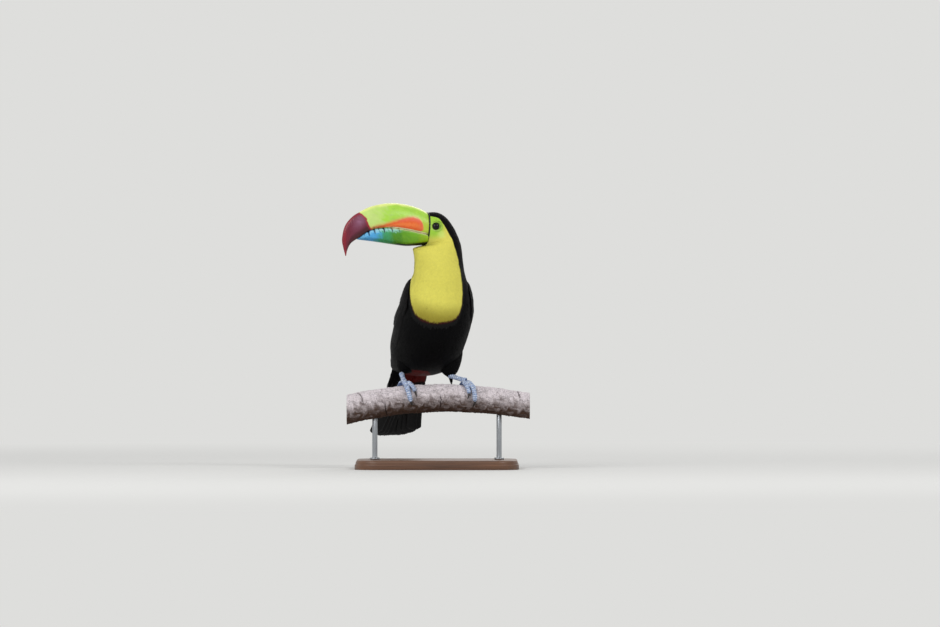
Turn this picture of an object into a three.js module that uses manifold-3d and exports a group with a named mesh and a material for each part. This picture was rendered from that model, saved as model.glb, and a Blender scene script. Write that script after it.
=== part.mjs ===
// Keel-billed toucan (Ramphastos sulfuratus), life size, perched on a cut length of branch
// that two short rods hold above a flat display base.
//
// Millimetres, +Z up. The origin is the centre of the base's underside, where the part stands.
// +X runs along the perch and -Y is the side that the breast faces. The bird's tail hangs
// behind the perch, and its head is turned far to its own right, so that the bill points to -X.

import * as THREE from "three";
import { mergeVertices } from "three/addons/utils/BufferGeometryUtils.js";
import Module from "manifold-3d";

const wasm = await Module();
wasm.setup();

// ---------------------------------------------------------------- driving dimensions

const GAP = 0.3; // clearance between neighbouring pieces
const OVERREACH = 1.2; // how far a piece starts inside the neighbour that then trims it

// Display stand
const BASE = { length: 250, width: 180, height: 14, corner: 36, bevel: 2.5 };
const ROD = { radius: 4, x: 95, intoPerch: 12, sides: 16 };

// Perch: an arched branch, its centre line highest under the bird
const PERCH = {
  from: -138,
  to: 142,
  crownHeight: 108,
  sagLeft: 0.00095, // drop per mm of distance squared, towards -X
  sagRight: 0.0006,
  radius: 21,
  taper: 0.01, // loss of radius per mm towards +X
  swell: 0.7, // height of the uneven swellings
};

// Body: the trunk's yaw turns the breast towards +X, the head's turns the bill towards -X
const TRUNK_YAW = 24;
const HEAD_YAW = -70;
const TRUNK_AXIS = [-1.5, 0];
const RUMP_AXIS = [-3.6, 0]; // the hind part lies a little towards the bird's right
const HEAD_AXIS = [-1.8, -15.8];
const SECTION_SIDES = 22;

// Each row is one cross-section of the body, from the tail's root to the bill's base:
// yaw, axis x, axis y, then the breast-side point and the back-side point, both as distance
// in front of the axis and height, then half the width, how full the breast side is
// (2 is round, less is pointed) and the share of the depth at which the section is widest.
const BODY_ROWS = [
  [TRUNK_YAW, ...RUMP_AXIS, -86, 147, -100.5, 156.5, 30, 2.1, 0.5],
  [TRUNK_YAW, ...RUMP_AXIS, -66, 142, -94, 170, 38, 2.1, 0.5],
  [TRUNK_YAW, ...RUMP_AXIS, -36, 142, -86, 188, 45, 2.1, 0.5],
  [TRUNK_YAW, ...RUMP_AXIS, -6, 148.5, -79, 207, 51, 2.15, 0.5],
  [TRUNK_YAW, ...RUMP_AXIS, 20, 163, -70, 227, 53, 2.15, 0.5],
  [TRUNK_YAW, ...RUMP_AXIS, 39, 186, -60, 247, 54.5, 2.15, 0.5],
  [TRUNK_YAW, ...TRUNK_AXIS, 51, 213, -48, 266, 53, 2.15, 0.5],
  [TRUNK_YAW, ...TRUNK_AXIS, 56, 241, -36, 282, 50, 2.15, 0.5],
  [20, 3.8, -12.8, 41, 267, -41, 295, 44.5, 2.15, 0.5],
  [-2, 3.3, -14.5, 39.5, 289, -38, 307, 39.2, 2.1, 0.5],
  [-28, 2.8, -15.3, 37.5, 304, -36.4, 318, 36.7, 2.1, 0.5],
  [-52, 1.8, -15.6, 37, 318, -36, 330, 35.2, 2, 0.52],
  [-68, 0, -15.8, 37.3, 330, -36.2, 342, 33.4, 1.75, 0.57],
  [HEAD_YAW, ...HEAD_AXIS, 36, 336.5, -35.6, 349, 31.2, 1.5, 0.63],
  [HEAD_YAW, ...HEAD_AXIS, 28.5, 339, -34.2, 353.5, 29, 1.45, 0.63],
  [HEAD_YAW, ...HEAD_AXIS, 22, 340.3, -31.9, 358.5, 27, 1.55, 0.6],
  [HEAD_YAW, ...HEAD_AXIS, 19.5, 340.9, -27.2, 368.8, 25, 1.85, 0.53],
  [HEAD_YAW, ...HEAD_AXIS, 19, 341.3, -15.5, 384, 22.8, 2, 0.5],
  [HEAD_YAW, ...HEAD_AXIS, 18.5, 341.6, -2, 391.5, 20.8, 2.1, 0.5],
  [HEAD_YAW, ...HEAD_AXIS, 18, 342, 14, 391.5, 18, 2.2, 0.5],
];
const NECK_FROM = 8.6; // row numbers at which the body is parted into trunk, neck and head
const HEAD_FROM = 12.5;

// Bill: distance in front of its base and height, measured in the head's own upright plane.
const BILL_BASE_REACH = 18; // from the head's axis to the bill's base
const UPPER_ROWS = [
  [-0.9, 357.5, -3.7, 391.2, 17],
  [14, 361.2, 11, 398.2, 16.6],
  [30, 364.6, 30, 403.2, 16],
  [48, 367.3, 48.5, 405.3, 15.2],
  [66, 367.8, 67, 404.4, 14],
  [84, 365.7, 88, 399.8, 12.2],
  [97, 360.7, 103, 392.7, 10.4],
  [107, 353.6, 117, 384.3, 8.2],
  [114.5, 348.8, 128.6, 370.2, 6.2],
  [121, 343.2, 133.2, 350.3, 4.2],
  [125.3, 333.8, 131, 336.5, 2.2],
  [126.8, 325.4, 128, 325.8, 0.6],
];
const LOWER_ROWS = [
  [0.3, 342.2, -0.9, 357, 16.4],
  [14, 341, 14, 360.6, 15.8],
  [32, 340.4, 30, 364, 15.2],
  [57, 343.3, 48, 366.7, 14],
  [72, 345.4, 66, 367.2, 12.6],
  [86, 347.2, 84, 365.1, 10.4],
  [98, 348.6, 96.5, 360.1, 7.6],
  [106, 349.4, 105.5, 353.4, 4.4],
  [109.5, 349.8, 109.3, 350.9, 1.4],
];

// Eyes: each ball's radius and centre in the head's plane
const EYE = { radius: 7.5, ahead: 5.7, height: 369.6, out: 14.6 };

// Tail: a thin fan that leaves the trunk's end along the tail line
const TAIL = { length: 124, rootHalf: 30, fullHalf: 40, rootThick: 16, tipThick: 3.2, arch: 5, sway: 3 };
const TAIL_END = { round: 14, leftShorter: 8 }; // how much the outer feathers fall short

// Folded wings, over body rows from the shoulder to the tips of the long feathers. The wing's
// middle line starts beside the body and ends near the back's ridge (degrees from the breast).
const WING = {
  tipRow: 0.3,
  thick: 4.2,
  edge: 0.9,
  halfAngle: 46,
  tipAngle: 138,
  tipShare: 0.32, // width and thickness at the tip, as shares of the shoulder's
  tipThin: 0.45,
  seam: 0.06, // least half width, so that the outline closes on a short edge
};
// Each shoulder's row, its angle and how quickly its rounded outline opens. The turned neck draws
// the bib round to the bird's right, so the right wing starts farther back.
const SHOULDERS = {
  left: { row: 8.3, angle: 86, blunt: 3.6 },
  right: { row: 8.1, angle: 120, blunt: 2.6 },
};

// Legs: where the feathered thigh starts and ends, where the bare shank comes out, and the foot
const LEGS = {
  left: {
    hip: [17, 17, 172],
    knee: [21, 12, 140],
    ankle: [25, 7, 140.5],
    foot: [44.5, -3, 134.5],
    out: 1,
  },
  right: {
    hip: [-42, 20, 170],
    knee: [-53, 12, 147],
    ankle: [-53.5, 7.5, 142.5],
    foot: [-50.5, -3, 133.5],
    out: -1,
  },
};
// Radii along each leg, and how squarely the thigh's lower end is rounded off
const THIGH = { hip: 22, knee: 9.5, taper: 1.2, square: 6, leastEnd: 0.12 };
const SHANK = { ankle: 4, middle: 3.4, foot: 4.6 };
const TOE = { base: 4.4, tip: 3.2, padSwell: 0.06 };
const CLAW = { base: 2.5, tip: 0.45, taper: 1.4 };
// Toes as places on the perch: x from the foot, and the angle round the perch from its top
// (degrees, positive towards the breast side) at the toe's root, its middle, its end and the claw's tip.
const TOES = {
  inner_front: { x: [-3.2, 1.5, 4.6, 2], angle: [10, 40, 70, 90], thick: 0.9 },
  outer_front: { x: [2.4, 11, 13.6, 9.5], angle: [8, 46, 97, 122], thick: 1 },
  inner_back: { x: [-3.4, -7, -9, -9.5], angle: [-8, -32, -56, -78], thick: 0.85 },
  outer_back: { x: [3.4, 8, 11, 11.5], angle: [-8, -42, -80, -104], thick: 0.95 },
};
// The right foot's front toes cross the perch at a slant of their own.
const RIGHT_FRONT = {
  inner_front: { x: [-6.5, -13, -17.5, -19.5], angle: [12, 38, 62, 84], thick: 0.9 },
  outer_front: { x: [-0.5, -5.5, -11, -13.2], angle: [8, 50, 99, 119], thick: 1 },
};

const FINISH = {
  black: { color: "#101013", roughness: 0.55 },
  bib: { color: "#ddd75a", roughness: 0.6 },
  billGreen: { color: "#a8d24e", roughness: 0.35 },
  billDark: { color: "#5e9a10", roughness: 0.35 },
  eye: { color: "#14160f", roughness: 0.08 },
  foot: { color: "#7f9fcb", roughness: 0.55 },
  claw: { color: "#2a2523", roughness: 0.4 },
  bark: { color: "#a8938f", roughness: 0.9 },
  wood: { color: "#5b3b26", roughness: 0.45 },
  steel: { color: "#8d9196", roughness: 0.35, metalness: 1 },
};

// ---------------------------------------------------------------- small helpers

const v3 = (x, y, z) => new THREE.Vector3(x, y, z);
const radians = THREE.MathUtils.degToRad;
const mix = THREE.MathUtils.lerp;
const ease = THREE.MathUtils.smoothstep;
const ahead = (yaw) => v3(Math.sin(radians(yaw)), -Math.cos(radians(yaw)), 0);
const leftward = (yaw) => v3(Math.cos(radians(yaw)), Math.sin(radians(yaw)), 0);
const steps = (count, from, to) =>
  Array.from({ length: count + 1 }, (_, i) => mix(from, to, i / count));

// A smooth curve through rows of numbers (Catmull-Rom), read at row number u.
function between(rows, u) {
  const last = rows.length - 1;
  const i = Math.min(Math.max(Math.floor(u), 0), last - 1);
  const t = u - i;
  const [a, b, c, d] = [Math.max(i - 1, 0), i, i + 1, Math.min(i + 2, last)].map((k) => rows[k]);
  const value = (k) => {
    const bend = 2 * a[k] - 5 * b[k] + 4 * c[k] - d[k];
    const turn = 3 * (b[k] - c[k]) + d[k] - a[k];
    return b[k] + 0.5 * ((c[k] - a[k]) * t + bend * t * t + turn * t ** 3);
  };
  return b.map((_, k) => value(k));
}

// Six times the signed volume of an indexed surface: negative when its faces point inwards.
function signedVolume(points, faces) {
  return faces.reduce((sum, [a, b, c]) => {
    return sum + points[a].dot(points[b].clone().cross(points[c]));
  }, 0);
}

function geometryOf(points, faces) {
  const outward = signedVolume(points, faces) > 0 ? faces : faces.map(([a, b, c]) => [a, c, b]);
  const geometry = new THREE.BufferGeometry().setFromPoints(points);
  geometry.setIndex(outward.flat());
  geometry.computeVertexNormals();
  return geometry;
}

// A closed skin over rings of equal count, its two ends filled from their middles.
function loft(rings) {
  const n = rings[0].length;
  const points = rings.flat();
  const faces = [];
  rings.slice(1).forEach((_, r) => {
    for (let k = 0; k < n; k++) {
      const [a, b] = [r * n + k, r * n + ((k + 1) % n)];
      faces.push([a, b, b + n], [a, b + n, a + n]);
    }
  });
  [[0, true], [rings.length - 1, false]].forEach(([r, first]) => {
    const middle = points.length;
    points.push(rings[r].reduce((sum, p) => sum.add(p), v3(0, 0, 0)).divideScalar(n));
    for (let k = 0; k < n; k++) {
      const [a, b] = [r * n + k, r * n + ((k + 1) % n)];
      faces.push(first ? [middle, b, a] : [middle, a, b]);
    }
  });
  return geometryOf(points, faces);
}

// A closed plate between an upper and a lower surface, both functions of p and q in 0..1.
function plate(upper, lower, pSteps, qSteps) {
  const grid = (surface) =>
    steps(pSteps, 0, 1).map((p) => steps(qSteps, 0, 1).map((q) => surface(p, q)));
  const [top, bottom] = [grid(upper), grid(lower)];
  const rings = top.map((row, i) => [...row, ...bottom[i].slice().reverse()]);
  return loft(rings);
}

// A tube round a path: radius(t) gives its radius and up(t) the direction that counts as over it.
function sweep(path, radius, count, sides, up) {
  const rings = steps(count, 0, 1).map((t) => {
    const tangent = path.getTangent(t);
    const side = tangent.clone().cross(up(t)).normalize();
    const over = side.clone().cross(tangent);
    return steps(sides - 1, 0, (2 * Math.PI * (sides - 1)) / sides).map((angle) =>
      path
        .getPoint(t)
        .addScaledVector(side, radius(t) * Math.cos(angle))
        .addScaledVector(over, radius(t) * Math.sin(angle)),
    );
  });
  return loft(rings);
}

function solidOf(geometry) {
  const bare = geometry.clone();
  bare.deleteAttribute("normal");
  bare.deleteAttribute("uv");
  const merged = mergeVertices(bare);
  return new wasm.Manifold(
    new wasm.Mesh({
      numProp: 3,
      vertProperties: merged.attributes.position.array,
      triVerts: new Uint32Array(merged.index.array),
    }),
  );
}

function geometryFrom(solid) {
  const mesh = solid.getMesh();
  const geometry = new THREE.BufferGeometry();
  geometry.setAttribute("position", new THREE.BufferAttribute(mesh.vertProperties, 3));
  geometry.setIndex(new THREE.BufferAttribute(mesh.triVerts, 1));
  geometry.computeVertexNormals();
  return geometry;
}

// The first geometry with the others taken away, and only its largest body kept.
function trimmed(geometry, ...cutters) {
  const cut = cutters.reduce((left, cutter) => left.subtract(solidOf(cutter)), solidOf(geometry));
  const [largest] = cut.decompose().sort((a, b) => b.volume() - a.volume());
  return geometryFrom(largest);
}

function piece(name, geometry, finish) {
  const { color, roughness, metalness = 0 } = finish;
  const mesh = new THREE.Mesh(geometry, new THREE.MeshStandardMaterial({ color, roughness, metalness }));
  mesh.name = name;
  return mesh;
}

// ---------------------------------------------------------------- sections hung between two lines

// A rounded section between a low and a high point. round.low and round.high square the two
// halves (2 is an ellipse, more is boxier) and round.waist is the height share of the widest place.
function sectionPoint(low, high, side, halfWidth, theta, round, grow) {
  const [c, s] = [Math.cos(theta), Math.sin(theta)];
  const power = 2 / (c > 0 ? round.low : round.high);
  const lift = Math.abs(c) ** power;
  const share = c > 0 ? round.waist * (1 - lift) : round.waist + (1 - round.waist) * lift;
  const along = high.clone().sub(low);
  const reach = along.length();
  along.normalize();
  return low
    .clone()
    .addScaledVector(along, mix(-grow, reach + grow, share))
    .addScaledVector(side, (halfWidth + grow) * Math.sign(s) * Math.abs(s) ** power);
}

const BACK_ROUND = 2.15; // how full the back side of every body section is

// The rows as points in space: breast-side point, back-side point, then the rest.
const BODY_SECTIONS = BODY_ROWS.map(([yaw, x, y, frontReach, frontZ, backReach, backZ, half, low, waist]) => {
  const front = v3(x, y, 0).addScaledVector(ahead(yaw), frontReach);
  const back = v3(x, y, 0).addScaledVector(ahead(yaw), backReach);
  return [front.x, front.y, frontZ, back.x, back.y, backZ, half, yaw, low, waist];
});

// The body's surface at row number u and angle theta, from 0 at the breast to pi at the back,
// positive angles on the bird's left. grow moves it outwards.
function bodyPoint(u, theta, grow = 0) {
  const [fx, fy, fz, bx, by, bz, half, yaw, low, waist] = between(BODY_SECTIONS, u);
  const round = { low, high: BACK_ROUND, waist };
  return sectionPoint(v3(fx, fy, fz), v3(bx, by, bz), leftward(yaw), half, theta, round, grow);
}

const around = (sides) => steps(sides - 1, 0, (2 * Math.PI * (sides - 1)) / sides);

function bodyRing(u, grow, slide = 0) {
  const shift = bodyPoint(u + 0.02, 0, 0)
    .add(bodyPoint(u + 0.02, Math.PI, 0))
    .sub(bodyPoint(u - 0.02, 0, 0))
    .sub(bodyPoint(u - 0.02, Math.PI, 0))
    .setLength(slide);
  return around(SECTION_SIDES).map((theta) => bodyPoint(u, theta, grow).add(shift));
}

// The body from row number `from` to `to`, drawn back by half a gap at the ends that are cut.
function bodyLength(from, to, count, grow = 0, slideStart = GAP / 2, slideEnd = -GAP / 2) {
  const rings = steps(count, from, to).map((u, i) => {
    const slide = i === 0 ? slideStart : i === count ? slideEnd : 0;
    return bodyRing(u, grow, slide);
  });
  return loft(rings);
}

// A place in the head's own frame: ahead of the head's axis, out to the bird's left, and height.
function headPlace(forward, out, z) {
  return v3(...HEAD_AXIS, z)
    .addScaledVector(ahead(HEAD_YAW), forward)
    .addScaledVector(leftward(HEAD_YAW), out);
}

function billHalf(rows, round, count, sides) {
  const rings = steps(count, 0, rows.length - 1).map((u) => {
    const [lowReach, lowZ, highReach, highZ, half] = between(rows, u);
    const low = headPlace(BILL_BASE_REACH + lowReach, 0, lowZ);
    const high = headPlace(BILL_BASE_REACH + highReach, 0, highZ);
    return around(sides).map((theta) =>
      sectionPoint(low, high, leftward(HEAD_YAW), half, theta, round, 0),
    );
  });
  return loft(rings);
}

// ---------------------------------------------------------------- body parts

const TRUNK_STEPS = 18;
const trunk = () => bodyLength(0, NECK_FROM, TRUNK_STEPS, 0, 0);
const trunkCutter = () => bodyLength(0, NECK_FROM, TRUNK_STEPS, GAP, -GAP, GAP);
const neck = () => bodyLength(NECK_FROM, HEAD_FROM, 8);

const eyeBall = (out, radius) => {
  const middle = headPlace(EYE.ahead, out * EYE.out, EYE.height);
  return new THREE.SphereGeometry(radius, 14, 10).translate(middle.x, middle.y, middle.z);
};

function head() {
  const whole = bodyLength(HEAD_FROM, BODY_ROWS.length - 1, 14, 0, GAP / 2, 0);
  return trimmed(whole, eyeBall(1, EYE.radius + GAP), eyeBall(-1, EYE.radius + GAP));
}

// Upper bill: flat along the cutting edge, widest low down, narrowing to a blunt keel on top.
const UPPER_ROUND = { low: 4, high: 1.9, waist: 0.28 };
// Lower bill: the same turned over, with a rounded lower edge.
const LOWER_ROUND = { low: 1.9, high: 4.5, waist: 0.74 };

// Tail: a fan in its own plane. p runs from root to tip and q across.
function tail() {
  const root = bodyPoint(0, 0).add(bodyPoint(0, Math.PI)).multiplyScalar(0.5);
  const over = bodyPoint(0, Math.PI).sub(bodyPoint(0, 0)).normalize();
  const side = leftward(TRUNK_YAW);
  const back = over.clone().cross(side).normalize();
  const surface = (face) => (p, q) => {
    const across = 2 * q - 1;
    const half = mix(TAIL.rootHalf, TAIL.fullHalf, p ** 0.9);
    const leftShort = TAIL_END.leftShorter * Math.max(across, 0) ** 2;
    const reach = TAIL.length - TAIL_END.round * Math.abs(across) ** 3.2 - leftShort;
    const bulge = Math.sqrt(Math.max(1 - across ** 2, 0));
    const thick = mix(TAIL.rootThick * bulge, TAIL.tipThick, ease(p, 0, 0.45)) / 2 + WING.edge / 2;
    return root
      .clone()
      .addScaledVector(back, GAP + p * reach)
      .addScaledVector(side, across * half - TAIL.sway * p)
      .addScaledVector(over, face * thick - TAIL.arch * p * across ** 2);
  };
  return plate(surface(1), surface(-1), 9, 9);
}

// Folded wing: a leaf over the body's side, thickest along its front edge. p runs from the
// shoulder to the tip, q from the breast-side edge to the back-side edge.
function wing(shoulderPlace, out) {
  const surface = (outer) => (p, q) => {
    const u = mix(shoulderPlace.row, WING.tipRow, p);
    const shoulder = Math.sqrt(1 - (1 - p) ** shoulderPlace.blunt);
    const open = shoulder * mix(1, WING.tipShare, ease(p, 0.5, 1.05)) + WING.seam;
    const middle = mix(shoulderPlace.angle, WING.tipAngle, ease(p, 0, 0.95));
    const theta = radians(middle + (2 * q - 1) * WING.halfAngle * open);
    const crown = Math.sin(Math.PI * mix(0.1, 0.9, q));
    const body = crown * mix(1, WING.tipThin, p) * ease(p, -0.1, 0.1);
    const lift = outer ? GAP + WING.edge + WING.thick * body : -OVERREACH;
    return bodyPoint(u, out * theta, lift);
  };
  const cutters = [trunkCutter(), ...Object.values(LEGS).map(thighCutter)];
  return trimmed(plate(surface(true), surface(false), 14, 7), ...cutters);
}

// Feathered thigh: a blunt cone from the hip down to the knee; its cutter is a gap larger.
function thighCone(leg, grow) {
  const knee = v3(...leg.knee).add(v3(0, 0, -grow));
  const radius = (t) => {
    const blunt = Math.sqrt(Math.max(1 - t ** THIGH.square, THIGH.leastEnd));
    return mix(THIGH.hip, THIGH.knee, t ** THIGH.taper) * blunt + grow;
  };
  return sweep(new THREE.LineCurve3(v3(...leg.hip), knee), radius, 8, 14, () => v3(0, 1, 0));
}

const thigh = (leg) => trimmed(thighCone(leg, 0), trunkCutter());
const thighCutter = (leg) => thighCone(leg, GAP);

// ---------------------------------------------------------------- perch

function perchCentre(x) {
  const sag = x < 0 ? PERCH.sagLeft : PERCH.sagRight;
  return v3(x, 0, PERCH.crownHeight - sag * x * x);
}

// Radius at x, and at an angle from the top: a slow taper with low uneven swellings.
function perchRadius(x, angle) {
  const swelling = Math.sin(x / 17 + 2 * Math.sin(angle)) * Math.cos(x / 29 + angle);
  return PERCH.radius - PERCH.taper * x + PERCH.swell * swelling;
}

// A point at an angle from the perch's top (positive towards -Y) and a height over its surface.
function perchPoint(x, angle, over) {
  const radius = perchRadius(x, angle) + over;
  return perchCentre(x).add(v3(0, -radius * Math.sin(angle), radius * Math.cos(angle)));
}

function perch(cutters) {
  const rings = steps(18, PERCH.from, PERCH.to).map((x) =>
    around(14).map((angle) => perchPoint(x, angle, 0)),
  );
  return trimmed(loft(rings), ...cutters);
}

// ---------------------------------------------------------------- feet

function toePath(leg, toe, from, to, thickness) {
  const stops = steps(4, from, to).map((u) => {
    const rows = toe.x.map((x, i) => [x, toe.angle[i]]);
    const [x, angle] = between(rows, u);
    return perchPoint(leg.foot[0] + x * leg.out, radians(angle), thickness(u) + GAP);
  });
  return new THREE.CatmullRomCurve3(stops);
}

const awayFromPerch = (path) => (t) => {
  const point = path.getPoint(t);
  return point.clone().sub(perchCentre(point.x));
};

function toeSolid(leg, toe, grow) {
  const thickness = (u) => toe.thick * mix(TOE.base, TOE.tip, u / 2);
  const path = toePath(leg, toe, 0, 2, thickness);
  const radius = (t) => {
    const blunt = Math.sqrt(Math.max(1 - ease(t, 0.86, 1.04) ** 2, 0));
    return thickness(2 * t) * blunt * (1 - TOE.padSwell * Math.cos(6 * Math.PI * t)) + grow;
  };
  return sweep(path, radius, 7, 8, awayFromPerch(path));
}

function clawSolid(leg, toe) {
  const thickness = (u) => mix(CLAW.base, CLAW.tip, u - 2);
  const path = toePath(leg, toe, 2.02, 3, thickness);
  const radius = (t) => mix(CLAW.base, CLAW.tip, t ** CLAW.taper) * toe.thick;
  return sweep(path, radius, 4, 5, awayFromPerch(path));
}

function shankSolid(leg, grow) {
  const [ankle, foot] = [v3(...leg.ankle), v3(...leg.foot)];
  const start = ankle.clone().sub(foot).multiplyScalar(0.3).add(ankle);
  const path = new THREE.CatmullRomCurve3([start, ankle, foot.clone().lerp(ankle, 0.45), foot]);
  const radius = (t) => {
    const shaft = mix(SHANK.ankle, SHANK.middle, ease(t, 0, 0.6));
    const pad = mix(shaft, SHANK.foot, ease(t, 0.65, 0.95));
    return pad * Math.sqrt(Math.max(1 - ease(t, 0.93, 1.03) ** 2, 0.05)) + grow;
  };
  return sweep(path, radius, 9, 10, () => v3(0, 1, 0.2));
}

function leg(sideName) {
  const plan = LEGS[sideName];
  const toes = sideName === "right" ? { ...TOES, ...RIGHT_FRONT } : TOES;
  const made = [piece("thigh_" + sideName, thigh(plan), FINISH.black)];
  const shank = trimmed(shankSolid(plan, 0), thighCutter(plan), trunkCutter());
  made.push(piece("shank_" + sideName, shank, FINISH.foot));
  const earlier = [shankSolid(plan, GAP)];
  for (const [name, toe] of Object.entries(toes)) {
    const solid = trimmed(toeSolid(plan, toe, 0), ...earlier);
    made.push(piece(`toe_${sideName}_${name}`, solid, FINISH.foot));
    earlier.push(toeSolid(plan, toe, GAP));
  }
  for (const [name, toe] of Object.entries(toes)) {
    const claw = trimmed(clawSolid(plan, toe), ...earlier);
    made.push(piece(`claw_${sideName}_${name}`, claw, FINISH.claw));
  }
  return made;
}

// ---------------------------------------------------------------- stand

function roundedRectangle(length, width, corner) {
  const shape = new THREE.Shape();
  const [x, y] = [length / 2, width / 2];
  const [cx, cy] = [x - corner, y - corner];
  shape.moveTo(cx, -y);
  shape.absarc(cx, -cy, corner, -Math.PI / 2, 0);
  shape.absarc(cx, cy, corner, 0, Math.PI / 2);
  shape.absarc(-cx, cy, corner, Math.PI / 2, Math.PI);
  shape.absarc(-cx, -cy, corner, Math.PI, 1.5 * Math.PI);
  shape.closePath();
  return shape;
}

function standBase() {
  const inner = roundedRectangle(
    BASE.length - 2 * BASE.bevel,
    BASE.width - 2 * BASE.bevel,
    BASE.corner - BASE.bevel,
  );
  return new THREE.ExtrudeGeometry(inner, {
    depth: BASE.height - 2 * BASE.bevel,
    curveSegments: 5,
    bevelThickness: BASE.bevel,
    bevelSize: BASE.bevel,
    bevelSegments: 1,
  }).translate(0, 0, BASE.bevel);
}

function rod(x, grow = 0) {
  const bottom = BASE.height + GAP;
  const top = perchCentre(x).z - PERCH.radius + ROD.intoPerch + grow;
  return new THREE.CylinderGeometry(ROD.radius + grow, ROD.radius + grow, top - bottom, ROD.sides)
    .rotateX(Math.PI / 2)
    .translate(x, 0, (top + bottom) / 2);
}

// ---------------------------------------------------------------- the part

const toucan = new THREE.Group();
toucan.add(
  piece("trunk", trunk(), FINISH.black),
  piece("neck", neck(), FINISH.bib),
  piece("head", head(), FINISH.bib),
  piece("bill_upper", billHalf(UPPER_ROWS, UPPER_ROUND, 22, 16), FINISH.billGreen),
  piece("bill_lower", billHalf(LOWER_ROWS, LOWER_ROUND, 14, 14), FINISH.billDark),
  piece("eye_left", eyeBall(1, EYE.radius), FINISH.eye),
  piece("eye_right", eyeBall(-1, EYE.radius), FINISH.eye),
  piece("wing_left", wing(SHOULDERS.left, 1), FINISH.black),
  piece("wing_right", wing(SHOULDERS.right, -1), FINISH.black),
  piece("tail", tail(), FINISH.black),
  ...leg("left"),
  ...leg("right"),
);

const stand = new THREE.Group();
const rodPlaces = [-ROD.x, ROD.x];
stand.add(
  piece("perch", perch(rodPlaces.map((x) => rod(x, GAP))), FINISH.bark),
  piece("stand_base", standBase(), FINISH.wood),
  piece("stand_rod_left", rod(rodPlaces[0]), FINISH.steel),
  piece("stand_rod_right", rod(rodPlaces[1]), FINISH.steel),
);

const part = new THREE.Group();
part.add(toucan, stand);

export default part;
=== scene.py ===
"""A keel-billed toucan as a still, life-size museum model on a cut branch and a plain stand.

Laid out as an add-on: property groups for sizes and colours, one operator for each group of
pieces, one panel. Lengths are in millimetres until a mesh is written, which is in metres.
"""

import bpy
import numpy as np
from bpy.props import FloatProperty, FloatVectorProperty, IntProperty, PointerProperty
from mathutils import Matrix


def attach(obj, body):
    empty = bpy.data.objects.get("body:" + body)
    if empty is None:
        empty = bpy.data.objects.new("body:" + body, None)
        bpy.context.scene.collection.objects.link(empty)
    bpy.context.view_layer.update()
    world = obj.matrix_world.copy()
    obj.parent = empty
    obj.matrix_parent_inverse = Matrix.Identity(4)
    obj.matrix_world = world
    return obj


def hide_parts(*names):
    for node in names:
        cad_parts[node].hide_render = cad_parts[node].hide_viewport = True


bl_info = {
    "name": "Keel-billed Toucan",
    "version": (1, 0, 0),
    "blender": (4, 5, 0),
    "location": "View3D > Sidebar > Toucan",
    "description": "Builds a life-size keel-billed toucan on a perch and a display stand",
    "category": "Add Mesh",
}

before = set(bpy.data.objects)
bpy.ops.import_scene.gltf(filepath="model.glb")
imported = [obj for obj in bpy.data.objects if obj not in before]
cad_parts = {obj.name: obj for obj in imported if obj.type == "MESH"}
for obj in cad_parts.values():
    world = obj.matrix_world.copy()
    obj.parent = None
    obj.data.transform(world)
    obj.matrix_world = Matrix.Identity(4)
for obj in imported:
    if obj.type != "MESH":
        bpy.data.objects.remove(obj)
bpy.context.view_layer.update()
MM = 0.001

# ------------------------ the body's measures

# One row for each cross-section, from the tail's root (row 0) to the bill's base: yaw, axis x,
# axis y, breast-side distance and height, back-side distance and height, half width, fullness
# of the breast side, and the share of the depth at which the section is widest.
TRUNK = (24, -1.5, 0)
RUMP = (24, -3.6, 0)
HEAD = (-70, -1.8, -15.8)
BODY_ROWS = np.array(
    [
        (*RUMP, -86, 147, -100.5, 156.5, 30, 2.1, 0.5),
        (*RUMP, -66, 142, -94, 170, 38, 2.1, 0.5),
        (*RUMP, -36, 142, -86, 188, 45, 2.1, 0.5),
        (*RUMP, -6, 148.5, -79, 207, 51, 2.15, 0.5),
        (*RUMP, 20, 163, -70, 227, 53, 2.15, 0.5),
        (*RUMP, 39, 186, -60, 247, 54.5, 2.15, 0.5),
        (*TRUNK, 51, 213, -48, 266, 53, 2.15, 0.5),
        (*TRUNK, 56, 241, -36, 282, 50, 2.15, 0.5),
        (20, 3.8, -12.8, 41, 267, -41, 295, 44.5, 2.15, 0.5),
        (-2, 3.3, -14.5, 39.5, 289, -38, 307, 39.2, 2.1, 0.5),
        (-28, 2.8, -15.3, 37.5, 304, -36.4, 318, 36.7, 2.1, 0.5),
        (-52, 1.8, -15.6, 37, 318, -36, 330, 35.2, 2, 0.52),
        (-68, 0, -15.8, 37.3, 330, -36.2, 342, 33.4, 1.75, 0.57),
        (*HEAD, 36, 336.5, -35.6, 349, 31.2, 1.5, 0.63),
        (*HEAD, 28.5, 339, -34.2, 353.5, 29, 1.45, 0.63),
        (*HEAD, 22, 340.3, -31.9, 358.5, 27, 1.55, 0.6),
        (*HEAD, 19.5, 340.9, -27.2, 368.8, 25, 1.85, 0.53),
        (*HEAD, 19, 341.3, -15.5, 384, 22.8, 2, 0.5),
        (*HEAD, 18.5, 341.6, -2, 391.5, 20.8, 2.1, 0.5),
        (*HEAD, 18, 342, 14, 391.5, 18, 2.2, 0.5),
    ]
)
LAST_ROW = len(BODY_ROWS) - 1
BACK_ROUND = 2.15  # fullness of the back side of every section
BILL_BASE_REACH = 18  # how far the bill's base lies in front of the head's axis

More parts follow.
